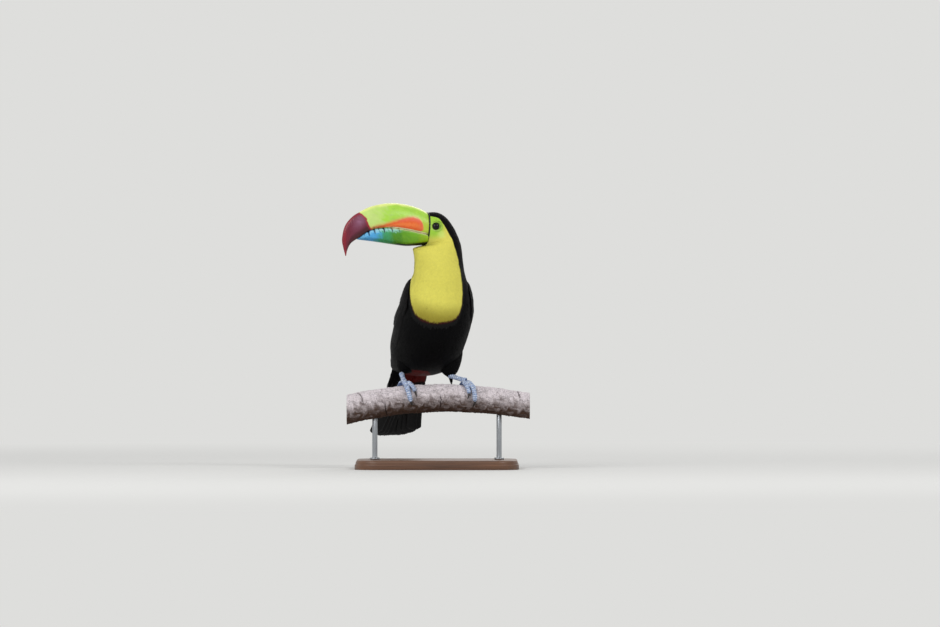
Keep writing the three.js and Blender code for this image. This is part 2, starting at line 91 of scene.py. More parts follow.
# The bill's sections: low edge's reach and height, high edge's reach and height, half width.
UPPER_ROWS = np.array(
    [
        (-0.9, 357.5, -3.7, 391.2, 17),
        (14, 361.2, 11, 398.2, 16.6),
        (30, 364.6, 30, 403.2, 16),
        (48, 367.3, 48.5, 405.3, 15.2),
        (66, 367.8, 67, 404.4, 14),
        (84, 365.7, 88, 399.8, 12.2),
        (97, 360.7, 103, 392.7, 10.4),
        (107, 353.6, 117, 384.3, 8.2),
        (114.5, 348.8, 128.6, 370.2, 6.2),
        (121, 343.2, 133.2, 350.3, 4.2),
        (125.3, 333.8, 131, 336.5, 2.2),
        (126.8, 325.4, 128, 325.8, 0.6),
    ]
)
LOWER_ROWS = np.array(
    [
        (0.3, 342.2, -0.9, 357, 16.4),
        (14, 341, 14, 360.6, 15.8),
        (32, 340.4, 30, 364, 15.2),
        (57, 343.3, 48, 366.7, 14),
        (72, 345.4, 66, 367.2, 12.6),
        (86, 347.2, 84, 365.1, 10.4),
        (98, 348.6, 96.5, 360.1, 7.6),
        (106, 349.4, 105.5, 353.4, 4.4),
        (109.5, 349.8, 109.3, 350.9, 1.4),
    ]
)
UPPER_ROUND = (4, 1.9, 0.28)  # squareness of the low and high halves, share of the widest place
LOWER_ROUND = (1.9, 4.5, 0.74)

# Eyes: the ball in the head's own frame, and the place of its middle on the body's surface
EYE_RADIUS, EYE_AHEAD, EYE_HEIGHT, EYE_OUT = 7.5, 5.7, 369.6, 14.6
EYE_ROW, EYE_ANGLE = 17.94, np.radians(98.2)
BARE_ROUND_EYE = 9.0  # radius of the featherless skin

# Edge of the yellow bib on the bird's left and right: row number and angle in degrees. On the
# head the two sides are alike.
BIB_ON_HEAD = (
    (14.4, 102), (15.35, 102.5), (16.16, 107.5), (16.7, 112), (17.34, 117.5), (17.8, 126),
    (18.2, 130.5), (18.48, 133.5), (18.8, 137), (19, 140),
)  # fmt: skip
BIB_LEFT = np.array(
    [
        (6.3, -28), (6.37, -14.5), (6.44, -4), (6.54, 4), (6.7, 11), (6.9, 16),
        (7.25, 21.5), (7.7, 26.5), (8.2, 35.5), (8.79, 54), (9.62, 78.5), (10.56, 98),
        (11.15, 105), (11.65, 109.5), (12.28, 109.5), (12.98, 107), (13.56, 104), *BIB_ON_HEAD,
    ]
)  # fmt: skip
BIB_RIGHT = np.array(
    [
        (6.29, -32), (6.27, -37), (6.25, -47), (6.34, -58), (6.49, -67.5), (6.8, -77.5),
        (7.15, -85.5), (7.54, -93), (8.2, -104), (8.8, -115), (9.6, -122), (10.6, -119),
        (11.65, -111), (12.98, -106), (13.56, -103.5), *((u, -angle) for u, angle in BIB_ON_HEAD),
    ]
)  # fmt: skip

# Upper edge of the red under the tail: angle in degrees and row number
RED_EDGE = np.array(
    [
        (-90, 0.4), (-75, 1), (-60, 1.7), (-47, 2.35), (-37, 2.7), (-29, 2.9), (-19, 3),
        (-9, 3), (-1, 2.7), (6, 2.2), (22, 1.7), (60, 1), (90, 0.4),
    ]
)  # fmt: skip

GAP = 0.3  # between pieces that lie against each other
# The tail: its length, its half width at the root and at the end, how far its sides hang below
# its middle at the end, and how far the end lies to the bird's right
TAIL_LENGTH, TAIL_ROOT_HALF, TAIL_FULL_HALF, TAIL_ARCH, TAIL_SWAY = 124, 30, 40, 5, 3
# Folded wings: the row of the tip, the half angle they take up, and for each side the shoulder's
# row, its angle and how quickly its rounded outline opens
WING_TO, WING_HALF_ANGLE = 0.3, 46
SHOULDERS = {1: (8.3, 86, 3.6), -1: (8.1, 120, 2.6)}
COVERT_STEP = 16  # length of one row number behind the body's end

# The joints of the legs, and which way the outer toe lies
LEGS = {
    "left": {
        "hip": (17, 17, 172), "knee": (21, 12, 140), "ankle": (25, 7, 140.5),
        "foot": (44.5, -3, 134.5), "out": 1,
    },
    "right": {
        "hip": (-42, 20, 170), "knee": (-53, 12, 147), "ankle": (-53.5, 7.5, 142.5),
        "foot": (-50.5, -3, 133.5), "out": -1,
    },
}  # fmt: skip
# Toes as places on the perch: x from the foot and the angle round the perch from its top, at the
# toe's root, middle, end and the claw's tip, and a factor on the thickness.
TOES = {
    "inner_front": ((-3.2, 1.5, 4.6, 2), (10, 40, 70, 90), 0.9),
    "outer_front": ((2.4, 11, 13.6, 9.5), (8, 46, 97, 122), 1),
    "inner_back": ((-3.4, -7, -9, -9.5), (-8, -32, -56, -78), 0.85),
    "outer_back": ((3.4, 8, 11, 11.5), (-8, -42, -80, -104), 0.95),
}
RIGHT_FRONT = {
    "inner_front": ((-6.5, -13, -17.5, -19.5), (12, 38, 62, 84), 0.9),
    "outer_front": ((-0.5, -5.5, -11, -13.2), (8, 50, 99, 119), 1),
}
TOE_BASE, TOE_TIP, CLAW_BASE, CLAW_TIP = 4.4, 3.2, 2.5, 0.45  # half thicknesses

# The perch's two ends, the height of its middle line's highest point and its radius; the rods;
# and the display base's plan
PERCH_FROM, PERCH_TO, PERCH_CROWN, PERCH_RADIUS = -138, 142, 108, 21
ROD_X, ROD_RADIUS = 95, 4
BASE_LENGTH, BASE_WIDTH, BASE_CORNER = 250, 180, 36


# ------------------------ small helpers


def linear(code):
    """The linear red, green and blue of an sRGB hex code."""
    s = np.array([int(code[i : i + 2], 16) for i in (1, 3, 5)]) / 255
    return tuple(np.where(s <= 0.04045, s / 12.92, ((s + 0.055) / 1.055) ** 2.4))


def mix(a, b, t):
    """The straight blend from a to b."""
    a, b = np.asarray(a, float), np.asarray(b, float)
    return a + (b - a) * t


def painted(colour, *coats):
    """A colour under further coats, each a hex code or a colour and the share that it hides of
    what lies below."""
    for over, share in coats:
        colour = mix(colour, linear(over) if isinstance(over, str) else over, share)
    return colour


def ease(x, low, high):
    """0 below low, 1 above high, and a smooth S between."""
    t = np.clip((x - low) / (high - low), 0, 1)
    return t * t * (3 - 2 * t)


def unit(v):
    """Vectors along the last axis at length one."""
    return v / np.maximum(np.linalg.norm(v, axis=-1, keepdims=True), 1e-9)


def full_turn(count, start=0.0):
    """`count` even angles over one whole turn."""
    return np.linspace(start, start + 2 * np.pi, count, endpoint=False)


def wrapped(theta):
    """An angle brought between -pi and pi."""
    return (theta + np.pi) % (2 * np.pi) - np.pi


def ahead(yaw):
    """The level direction at a yaw in degrees, -Y at 0 and +X at 90."""
    a = np.radians(yaw)
    return np.stack([np.sin(a), -np.cos(a), 0 * a], -1)


def leftward(yaw):
    """The level direction at right angles to ahead, on the bird's left."""
    a = np.radians(yaw)
    return np.stack([np.cos(a), np.sin(a), 0 * a], -1)


def noise(points, size, seed=0):
    """A smooth pattern in space, mostly between -1 and 1: five sine waves of about the given
    size, in fixed directions, each bent by the one before."""
    draw = np.random.default_rng(seed)
    value, bend = 0, 0
    for _ in range(5):
        way = unit(draw.normal(size=3)) * draw.uniform(0.7, 1.6) * 2 * np.pi / size
        bend = np.sin(points @ way + draw.uniform(0, 6.3) + 1.7 * bend)
        value = value + bend
    return value / 3


def between(rows, u):
    """A smooth Catmull-Rom curve through rows of numbers, read at row numbers u."""
    last = len(rows) - 1
    i = np.clip(np.floor(u).astype(int), 0, last - 1)
    t = (u - i)[..., None]
    a, b, c, d = (rows[np.clip(i + k, 0, last)] for k in (-1, 0, 1, 2))
    curve = (2 * a - 5 * b + 4 * c - d) * t**2 + (3 * (b - c) + d - a) * t**3
    return b + 0.5 * ((c - a) * t + curve)


def rounded(low, high, side, half, theta, rounding, grow):
    """A point of a rounded section hung between a low and a high point: the height share is the
    waist's, less or more a power of the cosine, and the width is a power of the sine."""
    low_round, high_round, waist = rounding
    c, s = np.cos(theta), np.sin(theta)
    power = np.where(c > 0, 2 / low_round, 2 / high_round)
    lift = np.abs(c) ** power
    share = np.where(c > 0, waist * (1 - lift), waist + (1 - waist) * lift)
    along = high - low
    reach = np.linalg.norm(along, axis=-1)
    along = along / reach[..., None]
    out = (half + grow) * np.sign(s) * np.abs(s) ** power
    return low + along * (share * (reach + 2 * grow) - grow)[..., None] + side * out[..., None]


def sections_of(rows):
    """The body's rows with both distances turned into places in space."""
    axis = np.column_stack([rows[:, 1:3], 0 * rows[:, 0]])
    front = axis + ahead(rows[:, 0]) * rows[:, 3:4]
    back = axis + ahead(rows[:, 0]) * rows[:, 5:6]
    front[:, 2], back[:, 2] = rows[:, 4], rows[:, 6]
    return np.column_stack([front, back, rows[:, 7], rows[:, 0], rows[:, 8], rows[:, 9]])


BODY_SECTIONS = sections_of(BODY_ROWS)


def body_within(u, theta, grow):
    """The body's surface where u is a real row number."""
    r = between(BODY_SECTIONS, u)
    rounding = (r[..., 8], BACK_ROUND, r[..., 9])
    return rounded(r[..., 0:3], r[..., 3:6], leftward(r[..., 7]), r[..., 6], theta, rounding, grow)


def body_point(u, theta, grow=0.0):
    """The body's surface at row number u and angle theta, 0 at the breast and pi at the back,
    positive on the bird's left, moved out by grow. Before row 0 the last section slides along
    the tail, widening a little and thinning towards it."""
    u, theta, grow = np.broadcast_arrays(*(np.asarray(a, float) for a in (u, theta, grow)))
    place = body_within(np.maximum(u, 0), theta, grow)
    if (u < 0).any():
        middle, back, side, over = tail_frame()
        k = np.maximum(-u, 0)[..., None]
        off = place - middle
        wide, high = (off * side).sum(-1, keepdims=True), (off * over).sum(-1, keepdims=True)
        wide, high = wide * (1 + 0.03 * k), high * (1 - 0.24 * np.minimum(k, 3.4))
        past = middle + back * (COVERT_STEP * k) + side * wide + over * high
        place = np.where(k > 0, past, place)
    return place


def head_place(forward, out, z):
    """A place in the head's own frame: ahead of its axis, out to the left, and height."""
    axis = np.array([HEAD[1], HEAD[2], 0.0])
    forward, out, z = np.broadcast_arrays(*(np.asarray(a, float) for a in (forward, out, z)))
    flat = axis + ahead(HEAD[0]) * forward[..., None] + leftward(HEAD[0]) * out[..., None]
    return flat + np.array([0, 0, 1.0]) * z[..., None]


def bill_point(rows, rounding, u, theta):
    """A bill half's surface at row number u and angle theta, 0 at the bottom, pi at the top."""
    r = between(rows, u)
    low = head_place(BILL_BASE_REACH + r[..., 0], 0, r[..., 1])
    high = head_place(BILL_BASE_REACH + r[..., 2], 0, r[..., 3])
    return rounded(low, high, leftward(HEAD[0]), r[..., 4], theta, rounding, 0.0)


def bill_places(points):
    """How far points lie in front of the bill's base, and their height."""
    return (points - head_place(BILL_BASE_REACH, 0, 0)) @ ahead(HEAD[0]), points[..., 2]


def tail_frame():
    """The middle of the body's last section and the directions back, to the left and over the
    tail, which leaves that section at right angles."""
    low, high = body_within(np.zeros(2), np.array([0, np.pi]), 0.0)
    over, side = unit(high - low), leftward(TRUNK[0])
    return (low + high) / 2, unit(np.cross(over, side)), side, over


def tail_point(p, q, lift=0.0):
    """The tail's own sheet: p from root to end, q across, lift over it. The sheet widens a
    little and arches across."""
    p, q, lift = np.broadcast_arrays(*(np.asarray(a, float) for a in (p, q, lift)))
    middle, back, side, over = tail_frame()
    across = 2 * q - 1
    half = mix(TAIL_ROOT_HALF, TAIL_FULL_HALF, np.clip(p, 0, 2) ** 0.9)
    along = middle + back * (GAP + p * TAIL_LENGTH)[..., None]
    sideways = side * (across * half - TAIL_SWAY * p)[..., None]
    return along + sideways + over * (lift - TAIL_ARCH * p * across**2)[..., None]


def wing_on_body(out, p, q):
    """Where the folded wing's p (shoulder to tip) and q (breast side to back side) lie on the
    body: the row number and the angle. `out` is 1 for the left wing and -1 for the right."""
    row, angle, blunt = SHOULDERS[out]
    shoulder = np.sqrt(1 - (1 - np.clip(p, 0, 1)) ** blunt)
    opened = shoulder * mix(1, 0.32, ease(p, 0.5, 1.05)) + 0.06
    middle = mix(angle, 138, ease(p, 0, 0.95))
    return mix(row, WING_TO, p), np.radians(middle + (2 * q - 1) * WING_HALF_ANGLE * opened)


def wing_point(out):
    """The surface of one folded wing: its place on the body, lifted by the wing's own thickness,
    which is most along its middle and near the shoulder."""

    def surface(p, q, lift=0.0):
        u, theta = wing_on_body(out, p, q)
        crown = np.sin(np.pi * mix(0.1, 0.9, np.clip(q, 0, 1)))
        thick = 3.8 * crown * mix(1, 0.45, np.clip(p, 0, 1)) * ease(p, -0.1, 0.1)
        return body_point(u, out * theta, thick + lift)

    return surface


def thigh_point(leg):
    """The surface of a feathered thigh, a blunt cone from hip to knee: t along, phi round. Above
    the hip, where t is below 0, it narrows into the body."""
    hip, knee = np.array(leg["hip"], float), np.array(leg["knee"], float)
    way = unit(knee - hip)
    side = unit(np.cross(way, (0.0, 1.0, 0.0)))
    over = np.cross(side, way)

    def surface(t, phi, lift=0.0):
        t, phi, lift = np.broadcast_arrays(*(np.asarray(a, float) for a in (t, phi, lift)))
        inside = np.clip(t, 0, 1)
        above, beyond = np.clip(-t, 0, 1), np.clip(t - 1, 0, 1)
        blunt = np.sqrt(np.clip(1 - inside**6, 0.12, 1)) * np.clip(1 - 2.2 * beyond, 0.15, 1)
        blunt = blunt * (1 + 0.45 * above - 1.3 * above**2)
        radius = (mix(22, 9.5, inside**1.2) * blunt + lift)[..., None]
        ring = side * np.cos(phi)[..., None] + over * np.sin(phi)[..., None]
        return hip + (knee - hip) * t[..., None] + radius * ring

    return surface


def perch_centre(x):
    """The perch's arched centre line: it falls with the square of x."""
    sag = np.where(x < 0, 0.00095, 0.0006)
    return np.stack([x, 0 * x, PERCH_CROWN - sag * x * x], -1)


def perch_point(x, angle, over=0.0):
    """A place at an angle from the perch's top, positive towards -Y, and over its surface."""
    swelling = np.sin(x / 17 + 2 * np.sin(angle)) * np.cos(x / 29 + angle)
    radius = (PERCH_RADIUS - 0.01 * x + 0.7 * swelling + over)[..., None]
    ring = np.stack([0 * angle, -np.sin(angle), np.cos(angle)], -1)
    return perch_centre(x) + radius * ring


# ------------------------ meshes


def grid_faces(rows, cols, count=1):
    """Quads over `count` separate grids of rows by cols points."""
    k = np.arange(rows * cols).reshape(rows, cols)
    one = np.stack([k[:-1, :-1], k[1:, :-1], k[1:, 1:], k[:-1, 1:]], -1).reshape(-1, 4)
    return (one + np.arange(count)[:, None, None] * (rows * cols)).reshape(-1, 4)


def ring_faces(rows, cols):
    """Quads between rings of points, each ring closed on itself."""
    k = np.arange(rows * cols).reshape(rows, cols)
    after = np.roll(k, -1, 1)
    return np.stack([k[:-1], k[1:], after[1:], after[:-1]], -1).reshape(-1, 4)


def closed_tube(rings):
    """Points and faces of a tube through rings of equal count, each end closed by a fan from its
    middle. The faces are turned outwards by the sign of the enclosed volume."""
    rows, cols = rings.shape[:2]
    quads = ring_faces(rows, cols)[:, (0, 3, 2, 1)]
    k = np.arange(cols)
    after, middle = np.roll(k, -1), np.full(cols, rows * cols)
    last = k + (rows - 1) * cols
    fans = [np.stack([middle, after, k], -1), np.stack([middle + 1, last, after + last[0]], -1)]
    fans = np.concatenate(fans)
    points = np.concatenate([rings.reshape(-1, 3), [rings[0].mean(0)], [rings[-1].mean(0)]])
    a, b, c, d = (points[quads[:, i]] - points.mean(0) for i in range(4))
    volume = (np.cross(b - a, c - a) * a).sum() + (np.cross(c - a, d - a) * a).sum()
    if volume < 0:
        quads, fans = quads[:, ::-1], fans[:, ::-1]
    return points, [quads, fans]


def joined(parts):
    """Several (points, faces) as one."""
    starts = np.cumsum([0] + [len(p) for p, _ in parts])
    faces = [f + start for (_, all_faces), start in zip(parts, starts) for f in all_faces]
    return np.concatenate([p for p, _ in parts]), faces


def write_mesh(name, points, faces, tint=None, maps=None, smooth=None):
    """A mesh from points in millimetres and index arrays, with a colour for each point in
    `tint` and any flat maps given as a place for each point. Where `smooth` gives the direction
    out of the body under each point, the shading leans towards it."""
    mesh = bpy.data.meshes.new(name)
    loops = np.concatenate([f.ravel() for f in faces]).astype(np.int32)
    sizes = np.concatenate([np.full(len(f), f.shape[1]) for f in faces])
    mesh.vertices.add(len(points))
    mesh.vertices.foreach_set("co", (points * MM).astype(np.float32).ravel())
    mesh.loops.add(len(loops))
    mesh.loops.foreach_set("vertex_index", loops)
    mesh.polygons.add(len(sizes))
    starts = np.concatenate([[0], np.cumsum(sizes)[:-1]]).astype(np.int32)
    mesh.polygons.foreach_set("loop_start", starts)
    mesh.polygons.foreach_set("use_smooth", np.ones(len(sizes), bool))
    for label, place in (maps or {}).items():
        layer = mesh.uv_layers.new(name=label, do_init=False)
        layer.uv.foreach_set("vector", place[loops].astype(np.float32).ravel())
    if tint is not None:
        colour = mesh.attributes.new("tint", "FLOAT_COLOR", "POINT")
        four = np.column_stack([tint, np.ones(len(tint))]).astype(np.float32)
        colour.data.foreach_set("color", four.ravel())
    mesh.update(calc_edges=True)
    if mesh.validate():
        raise RuntimeError(f"the mesh of {name} has broken faces")
    if smooth is not None:
        own = np.empty(len(points) * 3, np.float32)
        mesh.vertex_normals.foreach_get("vector", own)
        shown = unit(mix(own.reshape(-1, 3), smooth, SMOOTH_SHARE))
        mesh.normals_split_custom_set_from_vertices(shown.astype(np.float32))
    return mesh


def add_piece(name, points, faces, material, slot, nodes=(), **layers):
    """A finished piece that rides on the one body and replaces the nodes. Its slot is not used."""
    obj = bpy.data.objects.new(name, write_mesh(name, points, faces, **layers))
    obj.data.materials.append(material)
    bpy.context.scene.collection.objects.link(obj)
    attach(obj, "root")
    if nodes:
        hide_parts(*nodes)
    return obj


# ------------------------ feathers


def slopes_of(surface, place):
    """The surface's change with each of its two parameters, and the way out of it."""
    a, b, step = place[..., 0], place[..., 1], 0.01
    slope_a = (surface(a + step, b) - surface(a - step, b)) / (2 * step)
    slope_b = (surface(a, b + step) - surface(a, b - step)) / (2 * step)
    return slope_a, slope_b, surface(a, b, 1.0) - surface(a, b, 0.0)


def outward(surface, place):
    """The direction square to a surface, out of it."""
    slope_a, slope_b, out = slopes_of(surface, place)
    square = unit(np.cross(slope_a, slope_b))
    return square * np.sign((square * out).sum(-1, keepdims=True))


def lie_of(surface, place, way):
    """At a place on a surface, the feather's length along way and the two parameters' change
    for one millimetre sideways, found from the surface's slopes."""
    slope_a, slope_b, out = slopes_of(surface, place)
    along = slope_a * way[..., 0:1] + slope_b * way[..., 1:2]
    side = unit(np.cross(out, along))
    aa, ab, bb = (slope_a**2).sum(-1), (slope_a * slope_b).sum(-1), (slope_b**2).sum(-1)
    sa, sb = (side * slope_a).sum(-1), (side * slope_b).sum(-1)
    flat = aa * bb - ab * ab
    sideways = np.stack([(sa * bb - sb * ab) / flat, (sb * aa - sa * ab) / flat], -1)
    return np.linalg.norm(along, axis=-1), sideways


def vanes(
    surface, root, tip, half, low, high, draw, rows, cols,
    blunt=0.22, fray=0.07, camber=0.04, rise=2.6, bend=0.12, taper=0.38,
):  # fmt: skip
    """Feather vanes on a surface, each a small grid. Along it, t runs from root to tip; across,
    s from -1 to 1. The half width swells as a sine to the middle and shrinks again; the end is
    rounded by s squared and frayed by a zigzag; the height rises from low to high as one less
    a power of what is left, less a camber with s squared. Returns points, faces, the flat
    place on each vane in millimetres, t and the place on the surface for each point."""
    n = len(half)
    t = np.linspace(0, 1, rows)[None, :, None]
    s = np.linspace(-1, 1, cols)[None, None, :]
    root, tip = root[:, None, None, :], tip[:, None, None, :]
    half, low, high = (np.asarray(a, float)[:, None, None] for a in (half, low, high))
    length, sideways = lie_of(surface, (root + tip) / 2, tip - root)
    teeth = np.where(np.arange(cols) % 2, 1, -1) * draw.uniform(0.3, 1, (n, 1, cols))
    reach = t * (1 - blunt * s**2 * t**2) + fray * teeth * t**10
    width = (0.3 + 0.7 * np.sin(np.pi / 2 * np.minimum(t / 0.5, 1))) * (1 - taper * ease(t, 0.6, 1))
    across = half * (s * width + bend * draw.normal(size=(n, 1, 1)) * t**2)
    place = root + (tip - root) * reach[..., None] + sideways * across[..., None]
    lift = high - (high - low) * (1 - t) ** rise - camber * half * s**2
    lift = lift + 0.05 * half * s * draw.normal(size=(n, 1, 1)) * t
    points = surface(place[..., 0], place[..., 1], lift).reshape(-1, 3)
    flat = np.stack([np.broadcast_to(across, lift.shape), reach * length + 0 * lift], -1)
    along = np.broadcast_to(t, lift.shape).reshape(-1)
    return points, grid_faces(rows, cols, n), flat.reshape(-1, 2), along, place.reshape(-1, 2)


def vane_map(corner, rows, cols, size):
    """The flat patch of each vane: its corner's place, and a size across and along."""
    s, t = np.meshgrid(np.linspace(-0.5, 0.5, cols), np.linspace(0, 1, rows))
    return (corner[:, None, :] + np.stack([s, t], -1).reshape(1, -1, 2) * size).reshape(-1, 2)


EVEN_STEPS = 0.7548776662466927, 0.5698402909980532  # one over the plastic number, and its square


def scatter(weight, corners, count):
    """`count` even places over a rectangle of two parameters in proportion to a grid of weights:
    a low-discrepancy sequence put through the grid's running sums."""
    first, second = (np.arange(1, count + 1) * step % 1 for step in EVEN_STEPS)
    rows, cols = weight.shape
    (a0, a1), (b0, b1) = corners
    by_row = np.concatenate([[0], np.cumsum(weight.sum(1))])
    row = np.interp(first * by_row[-1], by_row, np.arange(rows + 1))
    r = np.minimum(row.astype(int), rows - 1)
    sums = np.cumsum(weight, 1) / np.maximum(weight.sum(1, keepdims=True), 1e-12)
    flat = (sums + np.arange(rows)[:, None]).ravel()
    c = np.clip(np.searchsorted(flat, r + second * 0.999999) - r * cols, 0, cols - 1)
    before = np.where(c > 0, sums[r, np.maximum(c - 1, 0)], 0)
    inside = (second - before) / np.maximum(sums[r, c] - before, 1e-12)
    b = (c + np.clip(inside, 0, 1)) / cols
    return np.stack([mix(a0, a1, row / rows), mix(b0, b1, b)], -1)


# ------------------------ the lie of the coat

# The coat is laid out by the distance back from the bill along a line of constant angle, so a
# feather keeps its true length where the rows are close together. The table of it ends at this
# row number and this distance, and has this many angles.
COAT_END_ROW, COAT_LONGEST, COAT_ANGLES = -3.2, 470, 361
SMOOTH_SHARE = 0.75  # how far the feathers' shading leans towards the body's own


def coat_table():
    """Row numbers by distance back from the bill (whole millimetres) and angle (whole degrees):
    the running length along each line of constant angle, turned round."""
    rows = np.linspace(LAST_ROW, COAT_END_ROW, 900)
    angles = np.linspace(-np.pi, np.pi, COAT_ANGLES)
    places = body_point(rows[:, None], angles[None, :], 0.0)
    steps = np.linalg.norm(np.diff(places, axis=0), axis=-1)
    length = np.concatenate([np.zeros((1, COAT_ANGLES)), np.cumsum(steps, 0)])
    back = np.arange(COAT_LONGEST + 1)
    return np.stack([np.interp(back, length[:, j], rows) for j in range(COAT_ANGLES)], 1)


COAT_ROWS = coat_table()


def row_at(back, theta):
    """The body's row number at a distance back from the bill and an angle."""
    turn = (theta + np.pi) / (2 * np.pi) % 1 * (COAT_ANGLES - 1)
    back = np.clip(back, 0, COAT_LONGEST - 1e-6)
    i, j = back.astype(int), np.minimum(turn.astype(int), COAT_ANGLES - 2)
    fi, fj = back - i, turn - j
    near = mix(COAT_ROWS[i, j], COAT_ROWS[i, j + 1], fj)
    return mix(near, mix(COAT_ROWS[i + 1, j], COAT_ROWS[i + 1, j + 1], fj), fi)


def coat_point(back, theta, lift=0.0):
    """The body's surface by distance back from the bill and angle."""
    back, theta, lift = np.broadcast_arrays(*(np.asarray(a, float) for a in (back, theta, lift)))
    return body_point(row_at(back, theta), theta, lift)


def coat_depth(u):
    """How deep the skin lies under the coat, by row number."""
    rows = [0, 3, 5, 6.5, 8, 10, 12, 15, 17, 19]
    return np.interp(u, rows, [4, 4.5, 4, 2.4, 1.9, 1.6, 1.2, 1.1, 0.9, 0.5])


def feather_length(u, theta, near_eye):
    """Length of the feathers by row number, less round the eye and on the rump."""
    rows = [-1, 0, 3, 6, 9, 11, 13, 14.5, 16, 19]
    by_row = np.interp(u, rows, [22, 18, 14, 12, 9.5, 8, 6.2, 5, 4, 3])
    rump = (1 - ease(u, 1, 2.4)) * ease(np.cos(theta), -0.5, -0.8)
    return by_row * mix(0.62, 1, ease(near_eye, BARE_ROUND_EYE, 18)) * (1 - 0.38 * rump)


def from_eye(points):
    """The distance of points from the middle of the nearer eye's opening."""
    places = [body_point(EYE_ROW, side * EYE_ANGLE) for side in (1, -1)]
    return np.min([np.linalg.norm(points - p, axis=-1) for p in places], 0)


def in_bib(u, theta):
    """True where the body's surface is yellow or green, between the bib's two edges."""
    degrees = np.degrees(wrapped(theta))
    left, right = np.interp(u, *BIB_LEFT.T), np.interp(u, *BIB_RIGHT.T)
    return (u > BIB_LEFT[0, 0]) & (degrees < left) & (degrees > right)


def bib_edge_below(degrees):
    """Row number of the bib's lower edge by angle."""
    lower = np.concatenate([BIB_RIGHT[7::-1], BIB_LEFT[:9]])
    return np.interp(degrees, lower[:, 1], lower[:, 0])


def markings(u, theta, plumage):
    """The coat's colour at row number u and angle theta: black, with the bib between its two edges,
    green round the eye, a thin dark red line under the bib, red under the tail's root, cream over
    it and a maroon tinge on the nape. Painted shade darkens the bib at its lower end, and a painted
    shadow darkens it under the bill."""
    points = body_point(u, theta)
    degrees = np.degrees(wrapped(theta))[..., None]
    u = u[..., None]
    ahead_of_axis, height = (points - head_place(0, 0, 0)) @ ahead(HEAD[0]), points[..., 2]
    nape = ease(u, 9, 11) * ease(np.abs(degrees), 100, 150) * (1 - ease(u, 15, 17))
    under = bib_edge_below(degrees) - u
    line = (1 - ease(under, 0.04, 0.13)) * ease(degrees, -95, -80) * (1 - ease(degrees, 22, 34))
    red = (1 - ease(u - np.interp(degrees, *RED_EDGE.T), -0.06, 0.06)) * ease(u, -1.4, -1.2)
    red = red * ease(degrees + np.interp(u, (-1, 0, 1.5, 2.7), (12, 22, 40, 49)), -4, 4)
    red = red * (1 - ease(degrees, 60, 75))
    off_back = 180 - np.abs(degrees)
    cream = (1 - ease(u + 0.0013 * off_back**1.6, 1.2, 1.3)) * (1 - ease(off_back, 46, 50))
    body = painted(
        np.broadcast_to(np.array(plumage.black), points.shape),
        (plumage.nape, nape),
        (np.array(plumage.red) * 0.4, line * (under > -0.5)),
        (plumage.red, red),
        (plumage.rump, cream),
    )
    green = np.hypot((ahead_of_axis - 12) / 18, (height - 373) / 20)[..., None]
    pale = np.hypot((ahead_of_axis + 1) / 7, (height - 358) / 7)[..., None]
    bib = painted(
        plumage.face,
        (plumage.bib, ease(green, 0.65, 1.3)),
        (plumage.pale_face, 0.6 * (1 - ease(pale, 0.3, 1.2))),
        (plumage.bib, 1 - ease(u, 12.5, 14)),
    )
    # Painted shadow under the bill: the throat just below it is painted darker.
    painted_shadow_under_bill = ease(u, 13, 14.4) * (1 - ease(np.abs(degrees), 35, 85))
    bib = bib * (1 - np.array((0.16, 0.14, 0.1)) * painted_shadow_under_bill)
    # Painted shade: the bib is painted darker towards its lower end, most in the middle, where the
    # breast curves under.
    wear_and_painted_light = (1 - ease(u, 6.4, 7.6)) * (1 - 0.5 * ease(np.abs(degrees + 20), 25, 70))
    bib = mix(bib, plumage.bib_shaded_low, 0.9 * wear_and_painted_light)
    return np.where(in_bib(u[..., 0], theta)[..., None], bib, body)


# ------------------------ materials


def connect(tree, node, inputs):
    """Gives a node its inputs: a number, a colour, a socket or a node's first output."""
    for key, value in inputs.items():
        if isinstance(value, bpy.types.Node):
            value = value.outputs[0]
        if isinstance(value, bpy.types.NodeSocket):
            tree.links.new(value, node.inputs[key])
        else:
            node.inputs[key].default_value = value


def add(tree, kind, inputs=None, stops=None, **settings):
    """Adds a node: its settings, its inputs and, on a colour ramp, its stops."""
    node = tree.nodes.new("ShaderNode" + kind)
    for key, value in settings.items():
        setattr(node, key, value)
    connect(tree, node, inputs or {})
    for i, (place, colour) in enumerate(stops or ()):
        stop = node.color_ramp.elements[i] if i < 2 else node.color_ramp.elements.new(place)
        stop.position, stop.color = place, (*colour, 1)
    return node


def surface_of(name, inputs):
    """A new material of one principled surface with constant inputs, and its node tree."""
    material = bpy.data.materials.new(name)
    material.use_nodes = True
    tree = material.node_tree
    tree.nodes.clear()
    surface = add(tree, "BsdfPrincipled", inputs)
    add(tree, "OutputMaterial", {"Surface": surface})
    return material, tree, surface


def toned_tint(tree, tone):
    """The mesh's own colour at each point, made lighter or darker by a tone."""
    tint = add(tree, "Attribute", attribute_name="tint").outputs["Color"]
    return add(tree, "VectorMath", {0: tint, "Scale": tone}, operation="SCALE")


def dress(tree, surface, colour, bump, gloss):
    """Ends a material with its colour, the inputs of its bump and the range of its roughness."""
    look = {"Normal": add(tree, "Bump", bump), "Roughness": add(tree, "MapRange", gloss)}
    connect(tree, surface, {"Base Color": colour, **look})


NOISE_SPAN = {"From Min": 0.3, "From Max": 0.7}  # where most of a noise's values lie
BARB_SLANT = -1.3  # how far a barb runs along the vane for each millimetre out from the shaft
